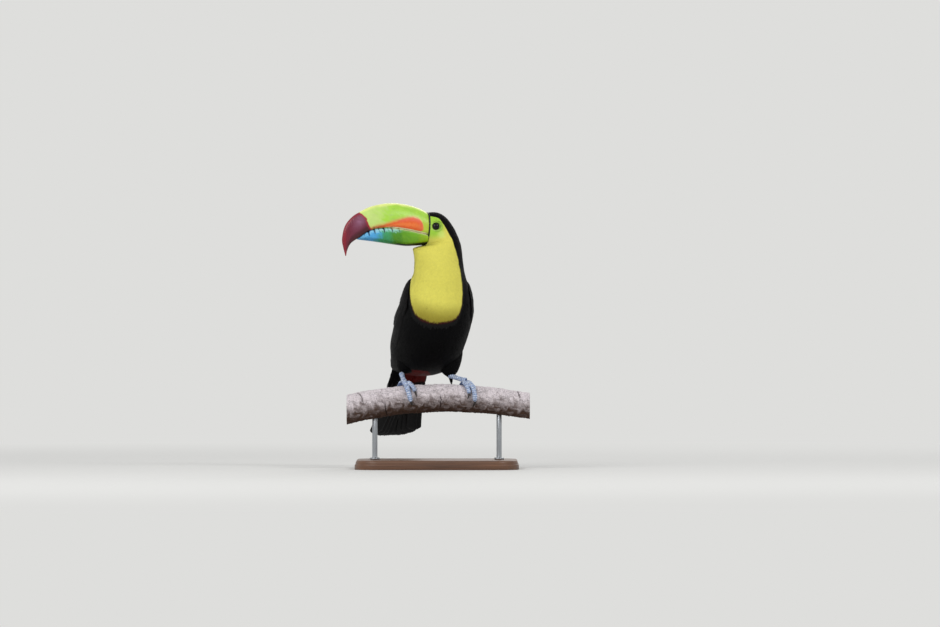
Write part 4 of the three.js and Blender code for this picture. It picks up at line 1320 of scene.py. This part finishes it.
class TOUCAN_OT_wings(bpy.types.Operator):
    """Folded wings: flight feathers under three rows of coverts, small scales at the shoulder"""

    bl_idname = "toucan.wings"
    bl_label = "Wings"

    def execute(self, context):
        plumage = context.scene.toucan_plumage
        draw = np.random.default_rng(plumage.seed + 1)
        stiff = feather("flight feather")
        for side, out in (("left", 1), ("right", -1)):
            surface, groups, used, made = wing_point(out), self.groups(draw), 0, []
            per_side = int(np.ceil(np.sqrt(sum(len(g) for g, *_ in groups))))
            for g, tuck, grid in groups:
                points, quads, flat, t, _ = quills(
                    surface, g[:, 0:2], g[:, 2:4], g[:, 4], g[:, 5], draw, tuck, *grid,
                    blunt=0.12, fray=0.012, camber=0.06, rise=4, bend=0.05,
                )  # fmt: skip
                tone = np.repeat(draw.normal(1, 0.08, (len(g), 1)), len(t) // len(g), 0)
                tint = quill_tint(t, flat, g[:, 4], plumage.black, plumage.edge, tone)
                cells = sheet_cells(used, len(g), per_side, *grid)
                made.append((points, [quads], tint, flat, cells))
                used += len(g)
            points, faces = self.underlay(surface)
            tint = np.tile(np.array(plumage.black) * 0.8, (len(points), 1))
            none = np.zeros((len(points), 2))
            made.append((points, faces, tint, none, none + 0.5 / per_side))
            tint, flat, cells = (np.concatenate([m[i] for m in made]) for i in (2, 3, 4))
            add_piece(
                f"wing_feathers_{side}", *joined([m[:2] for m in made]), stiff, "black_plumage",
                (f"wing_{side}",), tint=tint, maps={"OFBake": cells, "Vane": flat},
            )  # fmt: skip
        return {"FINISHED"}

    @staticmethod
    def groups(draw):
        """All of one wing's feathers: for each group its rows of numbers, its tuck and grid."""
        made = []
        for count, first, last, tuck, grid in WING_GROUPS:
            g = spaced(first, last, count)
            g[:, 0:4] += draw.normal(0, 0.004, (count, 4))
            made.append((g, tuck, grid))
        for count, corners, reach, half, spread, tuck, grid in WING_SCALES:
            root = scatter(np.ones((30, 30)), corners, count)
            high = 0.9 + draw.normal(0, spread, count)
            g = np.column_stack([root, root + np.array(reach), np.full(count, half), high])
            made.append((g, tuck, grid))
        return made

    @staticmethod
    def underlay(surface):
        """The closed dark body of the wing under its feathers: an upper sheet and a lower one."""
        first, last = 0.02, 0.96
        p, q = np.linspace(first, last, 50)[:, None], np.linspace(0.04, 0.96, 24)[None, :]
        edge = (np.sin(np.pi * q) * np.sin(np.pi * (p - first) / (last - first))) ** 0.4
        upper, lower = surface(p, q, -2.9 + 1.2 * edge), surface(p, q, -3.1 - 2.5 * edge)
        return closed_tube(np.concatenate([upper, lower[:, ::-1]], 1))


class TOUCAN_OT_tail(bpy.types.Operator):
    """Ten tail feathers, the middle pair on top"""

    bl_idname = "toucan.tail"
    bl_label = "Tail"

    def execute(self, context):
        plumage = context.scene.toucan_plumage
        draw = np.random.default_rng(plumage.seed + 2)
        stiff = feather("tail feather")
        # From -1 at the tail's right edge to 1 at its left, the outermost first
        place = np.array([-4.5, 4.5, -3.5, 3.5, -2.5, 2.5, -1.5, 1.5, -0.5, 0.5]) / 4.5
        count, rows, cols = len(place), 40, 15
        across = place * 0.84
        shorter = 14 * np.abs(across) ** 3.2 + 8 * np.maximum(across, 0) ** 2
        root = np.stack([np.full(count, -0.06), 0.5 + place * 0.2], -1)
        tip = np.stack([1 - shorter / TAIL_LENGTH, 0.5 + across / 2], -1)
        half, high = np.full(count, 11.5), 1.5 - 3.4 * np.abs(place) + 0.1 * (place > 0)
        points, quads, flat, t, _ = quills(
            tail_point, root, tip, half, high, draw, 0.0, rows, cols,
            blunt=0.05, fray=0.004, camber=0.05, rise=3, bend=0.02, taper=0.1,
        )  # fmt: skip
        tone = np.repeat(draw.normal(1, 0.05, (count, 1)), rows * cols, 0)
        obj = add_piece(
            "tail_feathers", points, [quads], stiff, "black_plumage", ("tail",),
            tint=quill_tint(t, flat, half, plumage.black, plumage.edge, tone, 0.35),
            maps={"OFBake": sheet_cells(0, count, 4, rows, cols), "Vane": flat},
        )  # fmt: skip
        thick = obj.modifiers.new("vane thickness", "SOLIDIFY")
        thick.thickness, thick.offset = 0.35 * MM, 0
        return {"FINISHED"}


# ------------------------ bill, eyes and claws

# Notches along the bill's cutting edges: reach, strength and half width of each. The strongest
# fade out at NOTCH_DEPTH from the edge.
NOTCHES = (
    (36, 0.45, 1.3), (46.3, 0.8, 1.8), (51.5, 0.3, 0.9), (57.4, 0.95, 2), (63.5, 0.4, 1),
    (70, 1, 2.1), (77.8, 0.5, 1.4), (84.8, 0.95, 2), (93.4, 1, 2), (99.4, 0.5, 1.2),
)  # fmt: skip
NOTCH_DEPTH = 7.5
# Upper edge of the orange patch, where the green over it begins: reach and height
PATCH_TOP = np.array(
    [
        (6, 364), (7.5, 370), (9.5, 375.5), (13, 380), (18, 382.8), (24, 383.8), (32, 383.4),
        (45, 380.4), (58, 376.2), (68, 373.2), (82, 370.2), (97, 364.5),
    ]
)  # fmt: skip


def tooth(reach, depth=0.0):
    """The strength in the middle of each notch of the cutting edge, 0 between them; a notch
    narrows with depth from the edge and ends at NOTCH_DEPTH times its strength."""
    cut = 0 * reach
    for place, strength, half in NOTCHES:
        width = half * np.clip(1 - depth / (NOTCH_DEPTH * strength), 0, 1) ** 0.7
        inside = 1 - ease(np.abs(reach - place), 0.35 * width, width + 0.15)
        cut = np.maximum(cut, strength * inside * (width > 0.1))
    return cut


def upper_tint(points, parts):
    """Colours of the upper bill by reach s and height share h: green sides, paler forwards, a
    painted highlight towards the ridge, an orange patch over the mouth, cream along the cutting
    edge at the back, dark ticks over the notches and a maroon tip edged with crimson, with a
    painted highlight on its side."""
    s, z = bill_places(points)
    mouth = np.interp(s, UPPER_ROWS[:, 0], UPPER_ROWS[:, 1])
    ridge = np.interp(s, UPPER_ROWS[:, 2], UPPER_ROWS[:, 3])
    h = np.clip((z - mouth) / (ridge - mouth), 0, 1)
    s, z, mouth, h = (a[..., None] for a in (s, z, mouth, h))
    drift = noise(points * [1, 1, 1.6], 22, 5)[..., None]
    fine = noise(points, 6, 6)[..., None]
    over_mouth = z - mouth
    # The orange patch: its upper edge is soft, with a paler line over it.
    top = np.interp(s, PATCH_TOP[:, 0], PATCH_TOP[:, 1]) + 0.5 * fine
    low = mouth + np.interp(s, (0, 20, 60, 100), (2.2, 1.6, 1.0, 0.4)) + 3 * (1 - ease(s, 6, 13))
    patch = ease(s, 6, 10) * (1 - ease(s, 97, 102)) * ease(z - low, -0.6, 0.6)
    behind = (1 - ease(s + 2 * drift, 4, 15)) * (1 - ease(z, 372, 388))
    soft = np.interp(s, (20, 45, 75), (1.4, 2.2, 3))
    halo = mix(0.75, 0.5, ease(s, 50, 75)) * ease((top + 2.4 - z) / soft, -1.2, 1.2)
    height = np.clip(over_mouth / np.maximum(top - mouth, 1), 0, 1)
    orange = painted(
        parts.orange,
        ("#F0914A", 0.45 * ease(-np.abs(height - 0.45 + 0.1 * fine), -0.28, 0)),
        ("#E56A50", 0.75 * ease(height, 0.55, 0.9) * (1 - ease(s, 40, 62))),
        ("#DC6340", 0.7 * (1 - ease(s, 10, 18))),
        ("#B9481C", ease(s, 60, 82)),
    )
    cream = ease(1.7 - over_mouth, -0.3, 0.4) * (1 - ease(s, 52, 70)) * ease(s, 0, 2)
    tick = tooth(s - 0.4 - 0.2 * over_mouth, 1.3 * over_mouth)
    # The maroon tip, with a painted highlight on its side, a paler sheen.
    edge = 88 + 17 * h + 1.2 * np.sin(7 * h) + 0.6 * fine
    glow = np.exp(-(((s - 106) / 9) ** 2) - ((h - 0.66) / 0.26) ** 2)
    glow = glow * (0.8 + 0.12 * drift + 0.08 * fine)
    maroon = painted(
        parts.maroon,
        ("#93647F", np.clip(0.85 * glow, 0, 1)),
        ("#701626", 0.85 * np.maximum(ease(0.3 - h, 0, 0.22), ease(s, 116, 132))),
        ("#3A0D18", 0.8 * ease(9 - over_mouth, -5, 3) * (1 - ease(s, 122, 130))),
        ("#3A0810", 0.8 * ease(2.4 - over_mouth, -1, 1) * (1 - ease(s, 124, 130))),
        ("#A81E2C", 0.85 * (1 - ease(s - edge, 0.5, 4))),
        ("#8A1428", 0.7 * ease(h, 0.86, 0.97)),
        ("#8E2630", ease(-z, -336, -328)),
    )
    return painted(
        parts.green,
        ("#8FC63C", 0.55 * ease(drift, 0, 0.8) * (1 - ease(h, 0.75, 0.9))),
        ("#C6DD82", 0.85 * ease(s + 10 * drift, 55, 92)),
        # Painted highlight along the ridge
        (parts.rim, ease(h + 0.02 * drift, 0.87, 0.99)),
        ("#B4C034", 0.75 * behind),
        ("#D9B069", halo * patch),
        (orange, patch * ease((top - z) / soft, -1.1, 1)),
        ("#F2E6C8", 0.95 * cream),
        ("#4A5A1C", 0.6 * tick * ease(s, 72, 78) * (1 - ease(s, 94, 98))),
        (maroon, ease(s - edge, -0.7, 0.7)),
    )


def lower_tint(points, parts):
    """Colours of the lower bill by reach: green at the base, then teal and blue, pale blue teeth
    between dark notches along the cutting edge, and black along the lower edge at the back. Painted
    shade darkens the colour along the lower edge, which faces down."""
    s, z = bill_places(points)
    top = np.interp(s, LOWER_ROWS[:, 2], LOWER_ROWS[:, 3])[..., None]
    bottom = np.interp(s, LOWER_ROWS[:, 0], LOWER_ROWS[:, 1])[..., None]
    s, z = s[..., None], z[..., None]
    drift, fine = noise(points, 18, 8)[..., None], noise(points, 5, 9)[..., None]
    lower_edge, depth = ease(bottom + 5 - z, -2, 2), top - z
    colour = painted(
        parts.lower,
        ("#93B40C", 0.85 * (1 - ease(s + 3 * drift, 4, 20))),
        ("#3A8016", 0.75 * ease(s + 6 * drift, 26, 52)),
        ("#3C9C62", ease(s + 4 * drift, 50, 66)),
        (parts.blue, ease(s + 4 * drift - 6 * lower_edge, 68, 82)),
        ("#6FB8EC", 0.4 * ease(fine, 0.1, 0.8) * ease(s, 78, 90)),
    )
    teeth = ease(4.4 + 1.4 * fine + 1.0 * drift - depth, -2.2, 1.8) * ease(s, 38, 54)
    cream = ease(1.1 - depth, -0.3, 0.4) * (1 - ease(s, 48, 66)) * ease(s, 0, 2)
    black = ease(bottom + 2.2 + 2.2 * (1 - ease(s, 0, 46)) - z, -0.6, 0.6)
    notch = mix(linear("#143A1C"), linear("#0C2A4C"), ease(s, 60, 78))
    # Painted shade: darker along the lower edge, which faces down
    return painted(
        mix(colour, colour * 0.62, 0.8 * lower_edge),
        ("#A4DCDC", 0.7 * teeth * (1 - ease(s, 78, 104))),
        ("#7FC4EE", 0.45 * teeth * ease(s, 72, 90)),
        (notch, 0.95 * tooth(s + 0.2 * depth, depth)),
        ("#E6E8BE", 0.85 * cream),
        ("#0B0D0A", black * (1 - ease(s, 42, 56))),
    )


def bill_half(rows, rounding, parts, paint, sign):
    """One half of the bill as a fine closed tube: the cutting edge is notched by the teeth, and
    faint growth lines run round it."""
    u, theta = np.linspace(0, len(rows) - 1, 260)[:, None], full_turn(128, -np.pi)[None, :]
    points = bill_point(rows, rounding, u + 0 * theta, theta + 0 * u)
    s, z = bill_places(points)
    cutting_edge = rows[:, 0:2] if sign > 0 else rows[:, 2:4]
    near_edge = 1 - ease(np.abs(z - np.interp(s, *cutting_edge.T)), 0.5, 3.5)
    lines = 0.05 * np.sin(2 * np.pi * s / 3.1 + 2 * noise(points, 15, 11))
    lines = lines + 0.06 * noise(points, 7, 12)
    side = leftward(HEAD[0])
    outwards = np.sign(points @ side - head_place(0, 0, 0) @ side)
    points = points + side * (lines * outwards)[..., None]
    points[..., 2] += sign * (0.5 * tooth(s) - (0.6 if sign > 0 else 0.4)) * near_edge
    made, faces = closed_tube(points)
    return made, faces, paint(made, parts)


class TOUCAN_OT_bill(bpy.types.Operator):
    """Both halves of the bill and the black ring round its base"""

    bl_idname = "toucan.bill"
    bl_label = "Bill"

    def execute(self, context):
        parts = context.scene.toucan_bare_parts
        # Horn sheath of the bill: hard and smooth with a satin gloss and a thin waxy layer.
        waxy = {"Coat Weight": 0.12, "Coat Roughness": 0.22}
        look = {"IOR": 1.54, "Specular IOR Level": 0.3, **waxy}
        horn = tinted("bill horn", look, patches=(9.0, 0.06), grit=(1.6, 0.05), rough=0.36)
        for name, *half in (
            ("upper", UPPER_ROWS, UPPER_ROUND, parts, upper_tint, 1),
            ("lower", LOWER_ROWS, LOWER_ROUND, parts, lower_tint, -1),
        ):
            points, faces, tint = bill_half(*half)
            node = f"bill_{name}"
            add_piece(f"{node}_horn", points, faces, horn, "bill_horn", (node,), tint=tint)
        # The ring is a thin rounded band along the body's last row.
        theta, turn = full_turn(220)[None, :], np.linspace(-np.pi, np.pi, 17)[:, None]
        ring = body_point(LAST_ROW, theta, -0.35 + 0.75 * np.sin(turn))
        ring = ring + ahead(HEAD[0]) * (1.3 * np.cos(turn) + 0.1 + 0 * theta)[..., None]
        points, quads = ring.reshape(-1, 3), ring_faces(*ring.shape[:2])
        tint = np.array(linear("#0C0C0C")) * (1 + 0.3 * noise(points, 4, 13))[:, None]
        add_piece("bill_base_ring", points, [quads], horn, "bill_horn", tint=tint)
        return {"FINISHED"}


class TOUCAN_OT_eyes(bpy.types.Operator):
    """Both eyes: a wet ball with a bulging clear front, a dark iris and a black pupil"""

    bl_idname = "toucan.eyes"
    bl_label = "Eyes"

    def execute(self, context):
        parts = context.scene.toucan_bare_parts
        # A living eye: dark and wet, so all of its gloss comes from the film of tears.
        tears = {"Coat Weight": 1.0, "Coat Roughness": 0.02, "Coat IOR": 1.31}
        look = {"IOR": 1.38, "Specular IOR Level": 0.0, **tears}
        wet = tinted("wet eye", look, patches=(0.8, 0.1), grit=(6, 0.002), rough=0.14)
        # Angle a from the middle of the pupil, and phi round it
        a, phi = np.linspace(0.001, np.pi - 0.001, 72)[:, None], full_turn(96)[None, :]
        turn = np.append(a + 0 * phi, [0, np.pi])[:, None]
        spokes = np.append(phi + 0 * a, [0, 0])[:, None]
        a, phi = a[..., None], phi[..., None]
        bulge = EYE_RADIUS - 0.1 + 0.3 * (1 - ease(a, 0.3, 0.9))
        iris = np.array(parts.eye) * (1 + 0.5 * np.sin(46 * spokes + 3 * np.sin(9 * spokes)))
        tint = painted(
            linear("#050505"), (iris, ease(turn, 0.3, 0.34)), ("#0B0A08", ease(turn, 0.62, 0.7))
        )
        for name, side in (("left", 1), ("right", -1)):
            out = unit(leftward(HEAD[0]) * side + 0.08 * ahead(HEAD[0]))
            first = unit(np.cross(out, (0, 0, 1.0)))
            second = np.cross(out, first)
            ball = out * np.cos(a) + np.sin(a) * (first * np.cos(phi) + second * np.sin(phi))
            middle = head_place(EYE_AHEAD, side * (EYE_OUT + 0.3), EYE_HEIGHT)
            tube, node = closed_tube(middle + ball * bulge), f"eye_{name}"
            add_piece(f"eye_ball_{name}", *tube, wet, "eye", (node,), tint=tint)
        return {"FINISHED"}


class TOUCAN_OT_claws(bpy.types.Operator):
    """Eight curved claws, narrower than they are deep, dark at the root and paler at the tip, where
    the horn wears
    """

    bl_idname = "toucan.claws"
    bl_label = "Claws"

    def execute(self, context):
        dark = np.array(context.scene.toucan_bare_parts.claw)
        # Horn of the claws: hard and dark, faintly ridged, polished by the perch.
        horn = tinted(
            "claw horn", {"IOR": 1.54}, patches=(1.5, 0.2), grit=(0.8, 0.04), rough=0.34
        )
        u, sides = np.linspace(1.86, 3, 44), 24
        t = np.clip(u - 2, 0, 1)
        along = np.append(np.repeat(t, sides), [0, 1])[:, None]
        tint = mix(dark, dark * 1.8 + 0.02, ease(along, 0.55, 1))
        for side, leg in LEGS.items():
            for name, toe in toes_of(side).items():
                centres = toe_centres(leg, toe, u, mix(CLAW_BASE, CLAW_TIP, t))
                up = centres - perch_centre(centres[:, 0])
                radius = mix(CLAW_BASE, CLAW_TIP * 0.7, t**1.3) * toe[2] * ease(u, 1.8, 1.95)
                rings, over = sweep(centres, radius, up, sides)
                flat = rings - centres[:, None]
                beside = flat - (flat * over[:, None]).sum(-1, keepdims=True) * over[:, None]
                tube = closed_tube(centres[:, None] + flat - 0.28 * beside)
                piece, node = f"claw_horn_{side}_{name}", f"claw_{side}_{name}"
                add_piece(piece, *tube, horn, "claw_horn", (node,), tint=tint)
        return {"FINISHED"}


# ------------------------ perch and stand

GROWTH_RING = 3.6  # width of a year's growth in the cut ends
# Leaf scars and cracks of the bark, each part of the way round: x, slant, middle angle in degrees
# and half the angle it takes up
SCARS = (
    (-123, 0.5, 40, 50), (-74, -0.25, 150, 70), (-31, 0.2, -60, 45), (3, 0.15, 110, 40),
    (64, -0.3, 75, 35), (93, -0.35, -100, 60), (122, 0.25, 20, 55),
)  # fmt: skip


def bark_relief(x, angle, height):
    """Height of the bark: swellings of three sizes, long furrows along the branch, low blisters
    and a sunken arc with a raised lip at each leaf scar. Also gives the arcs, the blisters and
    the furrows on their own."""
    place = perch_point(x, angle)
    furrow = noise(place * [0.35, 1, 1], 5, 21)
    relief = 0.45 * noise(place, 14, 22) + 0.3 * furrow + 0.22 * noise(place, 2.6, 23)
    blister = noise(place * [1, 0.55, 0.55], 4.2, 24)
    relief = relief + 0.8 * ease(blister, 0.75, 1.15)
    wobble, uneven, arcs = 0.9 * noise(place, 9, 25), 9 * noise(place, 6, 31), 0 * relief
    for centre, slant, middle, half in SCARS:
        off = x - centre - slant * PERCH_RADIUS * np.sin(angle) - wobble
        turn = np.abs((np.degrees(angle) - middle + 180) % 360 - 180)
        share = 1 - ease(turn + uneven, 0.6 * half, half)
        sunken, lip = np.exp(-((off / 0.9) ** 2)), np.exp(-(((off - 2.2) / 1.3) ** 2))
        relief = relief - share * (1.4 * sunken - 0.7 * lip)
        arcs = np.maximum(arcs, share * sunken)
    return relief * height, arcs, blister, furrow


def sawn_end(row, angle, mount):
    """The cut face inside a ring of bark, as rings from its middle outwards, and its colour:
    growth rings by distance from the middle, a dark pith, one split and the bark's edge."""
    shares = np.linspace(0.0, 0.985, 44)[1:, None, None]
    middle = row.mean(0)
    face = middle + (row - middle) * shares
    reach = np.linalg.norm(face - middle, axis=-1)
    face[..., 0] += 0.05 * noise(face, 2.5, 29) * (1 - shares[..., 0] ** 6)
    growth = 0.5 + 0.5 * np.sin(2 * np.pi * reach / GROWTH_RING + 0.9 * noise(face, 14, 30))
    split = np.exp(-(((angle - 2.1) / 0.035) ** 2)) * ease(reach, 2, 6)
    wood = painted(
        np.array(mount.sapwood) * (0.62 + 0.42 * growth[..., None]),
        ("#3B2A20", 0.8 * split[..., None]),
        ("#6B4A34", 0.8 * (1 - ease(reach, 0.6, 2.0))[..., None]),
        (mount.bark_under, ease(shares, 0.92, 0.96)),
    )
    return face, wood


class TOUCAN_OT_perch(bpy.types.Operator):
    """Short cut length of branch: weathered bark with leaf scars and blisters, and sawn ends"""

    bl_idname = "toucan.perch"
    bl_label = "Perch"

    def execute(self, context):
        mount = context.scene.toucan_mount
        x, angle = np.linspace(PERCH_FROM, PERCH_TO, 430)[:, None], full_turn(144)[None, :]
        x, angle = x + 0 * angle, angle + 0 * x
        relief, arcs, blister, furrow = bark_relief(x, angle, mount.bark_relief / MM)
        bevel = 0.8
        inward = ease(x, PERCH_FROM, PERCH_FROM + bevel) * (1 - ease(x, PERCH_TO - bevel, PERCH_TO))
        bark = perch_point(x, angle, relief - bevel * (1 - inward))
        # Painted light and shade: lighter where the bark faces up, darker underneath
        up = ease(np.cos(angle) + 0.3 * noise(bark, 18, 26), -0.85, 0.85)[..., None]
        speck = ease(noise(bark, 2.3, 27) * 0.7 + noise(bark, 6, 28) * 0.5, 0.5, 0.8)[..., None]
        tint = painted(
            mount.bark_under,
            (mount.bark_lit_top, up),
            ("#3D2B27", 0.6 * speck),
            ("#E4DCDA", 0.5 * ease(blister, 0.5, 1)[..., None] * up),
        )
        # Painted shade in the furrows: darker where the bark sinks along them
        tint = mix(tint, tint * 0.55, 0.7 * ease(-furrow, 0.3, 0.9)[..., None])
        tint = painted(tint, ("#2A1E1B", 0.85 * arcs[..., None]))
        first, last = (sawn_end(row, angle[0], mount) for row in (bark[0], bark[-1]))
        points, faces = closed_tube(np.concatenate([first[0], bark, last[0][::-1]]))
        tint = np.concatenate([first[1], tint, last[1][::-1]])
        tint = np.concatenate([tint.reshape(-1, 3), [tint[0].mean(0)], [tint[-1].mean(0)]])
        # Dry smooth-barked branch: matt, mottled, with fine grit.
        look = {"IOR": 1.45, "Specular IOR Level": 0.2}
        dry = tinted("weathered bark", look, patches=(2.0, 0.26), grit=(0.9, 0.4), rough=0.86)
        add_piece("perch_bark", points, faces, dry, "bark", ("perch",), tint=tint)
        return {"FINISHED"}


# Profile of the base's edge: how far in from the outline, as a share of the moulding, and height
BASE_PROFILE = np.array(
    [
        (1.0, 0), (0.2, 0), (0.05, 0.3), (0, 0.9), (0, 6.2), (0.02, 7.0), (0.12, 7.6), (0.3, 7.9),
        (0.34, 8.0), (0.36, 8.4), (0.37, 9.6), (0.42, 10.8), (0.52, 12.0), (0.68, 13.1),
        (0.86, 13.8), (1.0, 13.97), (1.3, 14), (2.5, 14), (5.0, 14), (7.5, 14),
    ]
)  # fmt: skip
# A rod's collar and foot: height and radius
COLLAR = (
    (13.9, 7.2), (14.2, 7.5), (16.2, 7.5), (16.9, 7.3), (17.2, 6.6), (17.25, 4.6), (17.6, 4.1),
)  # fmt: skip


class TOUCAN_OT_stand(bpy.types.Operator):
    """Display base with a moulded edge, and two rods, each in a small collar"""

    bl_idname = "toucan.stand"
    bl_label = "Stand"

    def execute(self, context):
        mount, steps = context.scene.toucan_mount, 40
        inset, z = BASE_PROFILE[:, 0:1] * mount.moulding / MM, BASE_PROFILE[:, 1:2]
        quarter = np.linspace(0, np.pi / 2, steps)
        turn = np.concatenate([quarter + k * np.pi / 2 for k in range(4)])[None, :]
        corner_x = np.repeat([1, -1, -1, 1], steps)[None, :] * (BASE_LENGTH / 2 - BASE_CORNER)
        corner_y = np.repeat([1, 1, -1, -1], steps)[None, :] * (BASE_WIDTH / 2 - BASE_CORNER)
        radius = BASE_CORNER - inset
        plan = corner_x + radius * np.cos(turn), corner_y + radius * np.sin(turn)
        walnut = oiled_walnut(mount.walnut_light, mount.walnut_dark)
        slab = closed_tube(np.stack([*plan, z + 0 * turn], -1))
        add_piece("base_slab", *slab, walnut, "base_wood", ("stand_base",))
        steel = brushed_steel(mount.steel)
        phi = full_turn(72)[None, :]
        for name, x in (("left", -ROD_X), ("right", ROD_X)):
            top = perch_centre(np.array(float(x)))[2] - PERCH_RADIUS + 11.5
            shaft = [(z, ROD_RADIUS) for z in (18.2, 30, 55, top - 0.6)]
            rise, reach = np.array([*COLLAR, *shaft, (top, 3.4)]).T[..., None]
            ring = x + reach * np.cos(phi), reach * np.sin(phi)
            rod, node = closed_tube(np.stack([*ring, rise + 0 * phi], -1)), f"stand_rod_{name}"
            add_piece(f"rod_{name}", *rod, steel, "rod_steel", (node,))
        return {"FINISHED"}


# ------------------------ stage

CAMERA_PLACE, CAMERA_LENS = (0.0505, -10.0, 0.2374), 250.4
LAMPS_LOOK_AT = (0, 0, 0.22)
FLOOR_RADIUS = 60000
BACKDROP_FROM, BACKDROP_TO = 0.7, 2.2  # where the floor fades into the background, in metres


def seen_itself(tree):
    """1 for a ray that sees a surface directly, mirrored or through glass."""
    ray = add(tree, "LightPath").outputs
    seen = {0: ray["Is Camera Ray"], 1: ray["Is Glossy Ray"]}
    seen = {0: add(tree, "Math", seen, operation="MAXIMUM"), 1: ray["Is Transmission Ray"]}
    return add(tree, "Math", seen, operation="MAXIMUM")


def seamless_paper(colour):
    """Pale seamless paper: matt, with a faint grain of 1 mm, coarse enough to show. It keeps the
    model's shadow, and fades with distance into the background's own colour where it is seen
    directly or mirrored."""
    look = {"Roughness": 0.9, "Specular IOR Level": 0.1}
    material, tree, surface = surface_of("seamless paper", look)
    place = add(tree, "TexCoord").outputs["Object"]
    grain = add(tree, "TexNoise", {"Vector": place, "Scale": 900, "Detail": 2})
    stops = [(0.3, np.array(colour) * 0.985), (0.7, colour)]
    connect(tree, surface, {"Base Color": add(tree, "ValToRGB", {"Fac": grain}, stops)})
    away = add(tree, "VectorMath", {0: place}, operation="LENGTH").outputs["Value"]
    span = {"Value": away, "From Min": BACKDROP_FROM, "From Max": BACKDROP_TO}
    fade = add(tree, "MapRange", span, interpolation_type="SMOOTHSTEP")
    share = add(tree, "Math", {0: seen_itself(tree), 1: fade}, operation="MULTIPLY")
    glow = add(tree, "Emission", {"Color": (*colour, 1), "Strength": 1.0})
    output = next(n for n in tree.nodes if n.type == "OUTPUT_MATERIAL")
    both = add(tree, "MixShader", {0: share, 1: surface, 2: glow})
    connect(tree, output, {"Surface": both})
    return material


class TOUCAN_OT_stage(bpy.types.Operator):
    """Floor, background, soft lamps and the camera"""

    bl_idname = "toucan.stage"
    bl_label = "Stage"

    def execute(self, context):
        scene, stage = context.scene, context.scene.toucan_stage
        # The floor is a disc of rings, wider and wider apart, just under the base.
        r = np.concatenate([[0.001], np.geomspace(100, FLOOR_RADIUS, 24)])[:, None]
        phi = full_turn(72)[None, :]
        disc = np.stack([r * np.cos(phi), r * np.sin(phi), 0 * r * phi - 0.05], -1)
        mesh = write_mesh("floor", disc.reshape(-1, 3), [ring_faces(*disc.shape[:2])])
        floor = bpy.data.objects.new("floor", mesh)
        mesh.materials.append(seamless_paper(stage.floor))
        scene.collection.objects.link(floor)
        self.lamp(scene, "key lamp", (-1.5, -1.9, 1.9), 1.8, stage.key)
        self.lamp(scene, "fill lamp", (1.5, -1.4, 1.7), 0.6, stage.fill)
        self.lamp(scene, "back lamp", (0.6, 2.2, 1.7), 1.6, stage.fill)
        scene.world = world = bpy.data.worlds.new("studio")
        world.use_nodes = True
        tree = world.node_tree
        tree.nodes.clear()
        ambient = add(tree, "Background", {"Color": (1, 1, 1, 1), "Strength": stage.sky})
        behind = add(tree, "Background", {"Color": (*stage.floor, 1), "Strength": 1.0})
        both = add(tree, "MixShader", {0: seen_itself(tree), 1: ambient, 2: behind})
        add(tree, "OutputWorld", {"Surface": both})
        scene.view_settings.view_transform = "Standard"
        camera = bpy.data.cameras.new("camera")
        camera.lens, camera.sensor_width, camera.clip_end = CAMERA_LENS, 36, 200
        view = bpy.data.objects.new("camera", camera)
        view.location, view.rotation_euler = CAMERA_PLACE, (np.pi / 2, 0, 0)
        scene.collection.objects.link(view)
        scene.camera = view
        return {"FINISHED"}

    @staticmethod
    def lamp(scene, name, place, size, power):
        """A square soft lamp that looks at the model's middle."""
        light = bpy.data.lights.new(name, "AREA")
        light.shape, light.size, light.energy = "SQUARE", size, power
        lamp = bpy.data.objects.new(name, light)
        lamp.location = place
        x, y, z = np.array(LAMPS_LOOK_AT) - place
        lamp.rotation_euler = (np.pi / 2 + np.arctan2(z, np.hypot(x, y)), 0, np.arctan2(-x, y))
        scene.collection.objects.link(lamp)


# ------------------------ panel and registration

STEPS = ("stage", "skin", "coat", "wings", "tail", "bill", "eyes", "claws", "perch", "stand")
GROUPS = {
    "toucan_plumage": ToucanPlumage,
    "toucan_bare_parts": ToucanBareParts,
    "toucan_mount": ToucanMount,
    "toucan_stage": ToucanStage,
}


class TOUCAN_PT_panel(bpy.types.Panel):
    """The toucan's pieces and settings in the sidebar"""

    bl_idname = "TOUCAN_PT_panel"
    bl_label = "Toucan"
    bl_space_type = "VIEW_3D"
    bl_region_type = "UI"
    bl_category = "Toucan"

    def draw(self, context):
        for step in STEPS:
            self.layout.operator(f"toucan.{step}")
        for name, group in GROUPS.items():
            box = self.layout.box()
            for setting in group.__annotations__:
                box.prop(getattr(context.scene, name), setting)


CLASSES = (
    *GROUPS.values(),
    TOUCAN_OT_stage,
    TOUCAN_OT_skin,
    TOUCAN_OT_coat,
    TOUCAN_OT_wings,
    TOUCAN_OT_tail,
    TOUCAN_OT_bill,
    TOUCAN_OT_eyes,
    TOUCAN_OT_claws,
    TOUCAN_OT_perch,
    TOUCAN_OT_stand,
    TOUCAN_PT_panel,
)


def register():
    """Registers the classes and hangs the settings on the scene."""
    for made in CLASSES:
        bpy.utils.register_class(made)
    for name, group in GROUPS.items():
        setattr(bpy.types.Scene, name, PointerProperty(type=group))


def unregister():
    """Takes the settings and the classes away again."""
    for name in GROUPS:
        delattr(bpy.types.Scene, name)
    for made in reversed(CLASSES):
        bpy.utils.unregister_class(made)


def main():
    """Builds every piece in order."""
    register()
    for step in STEPS:
        getattr(bpy.ops.toucan, step)()


if __name__ == "__main__":
    main()
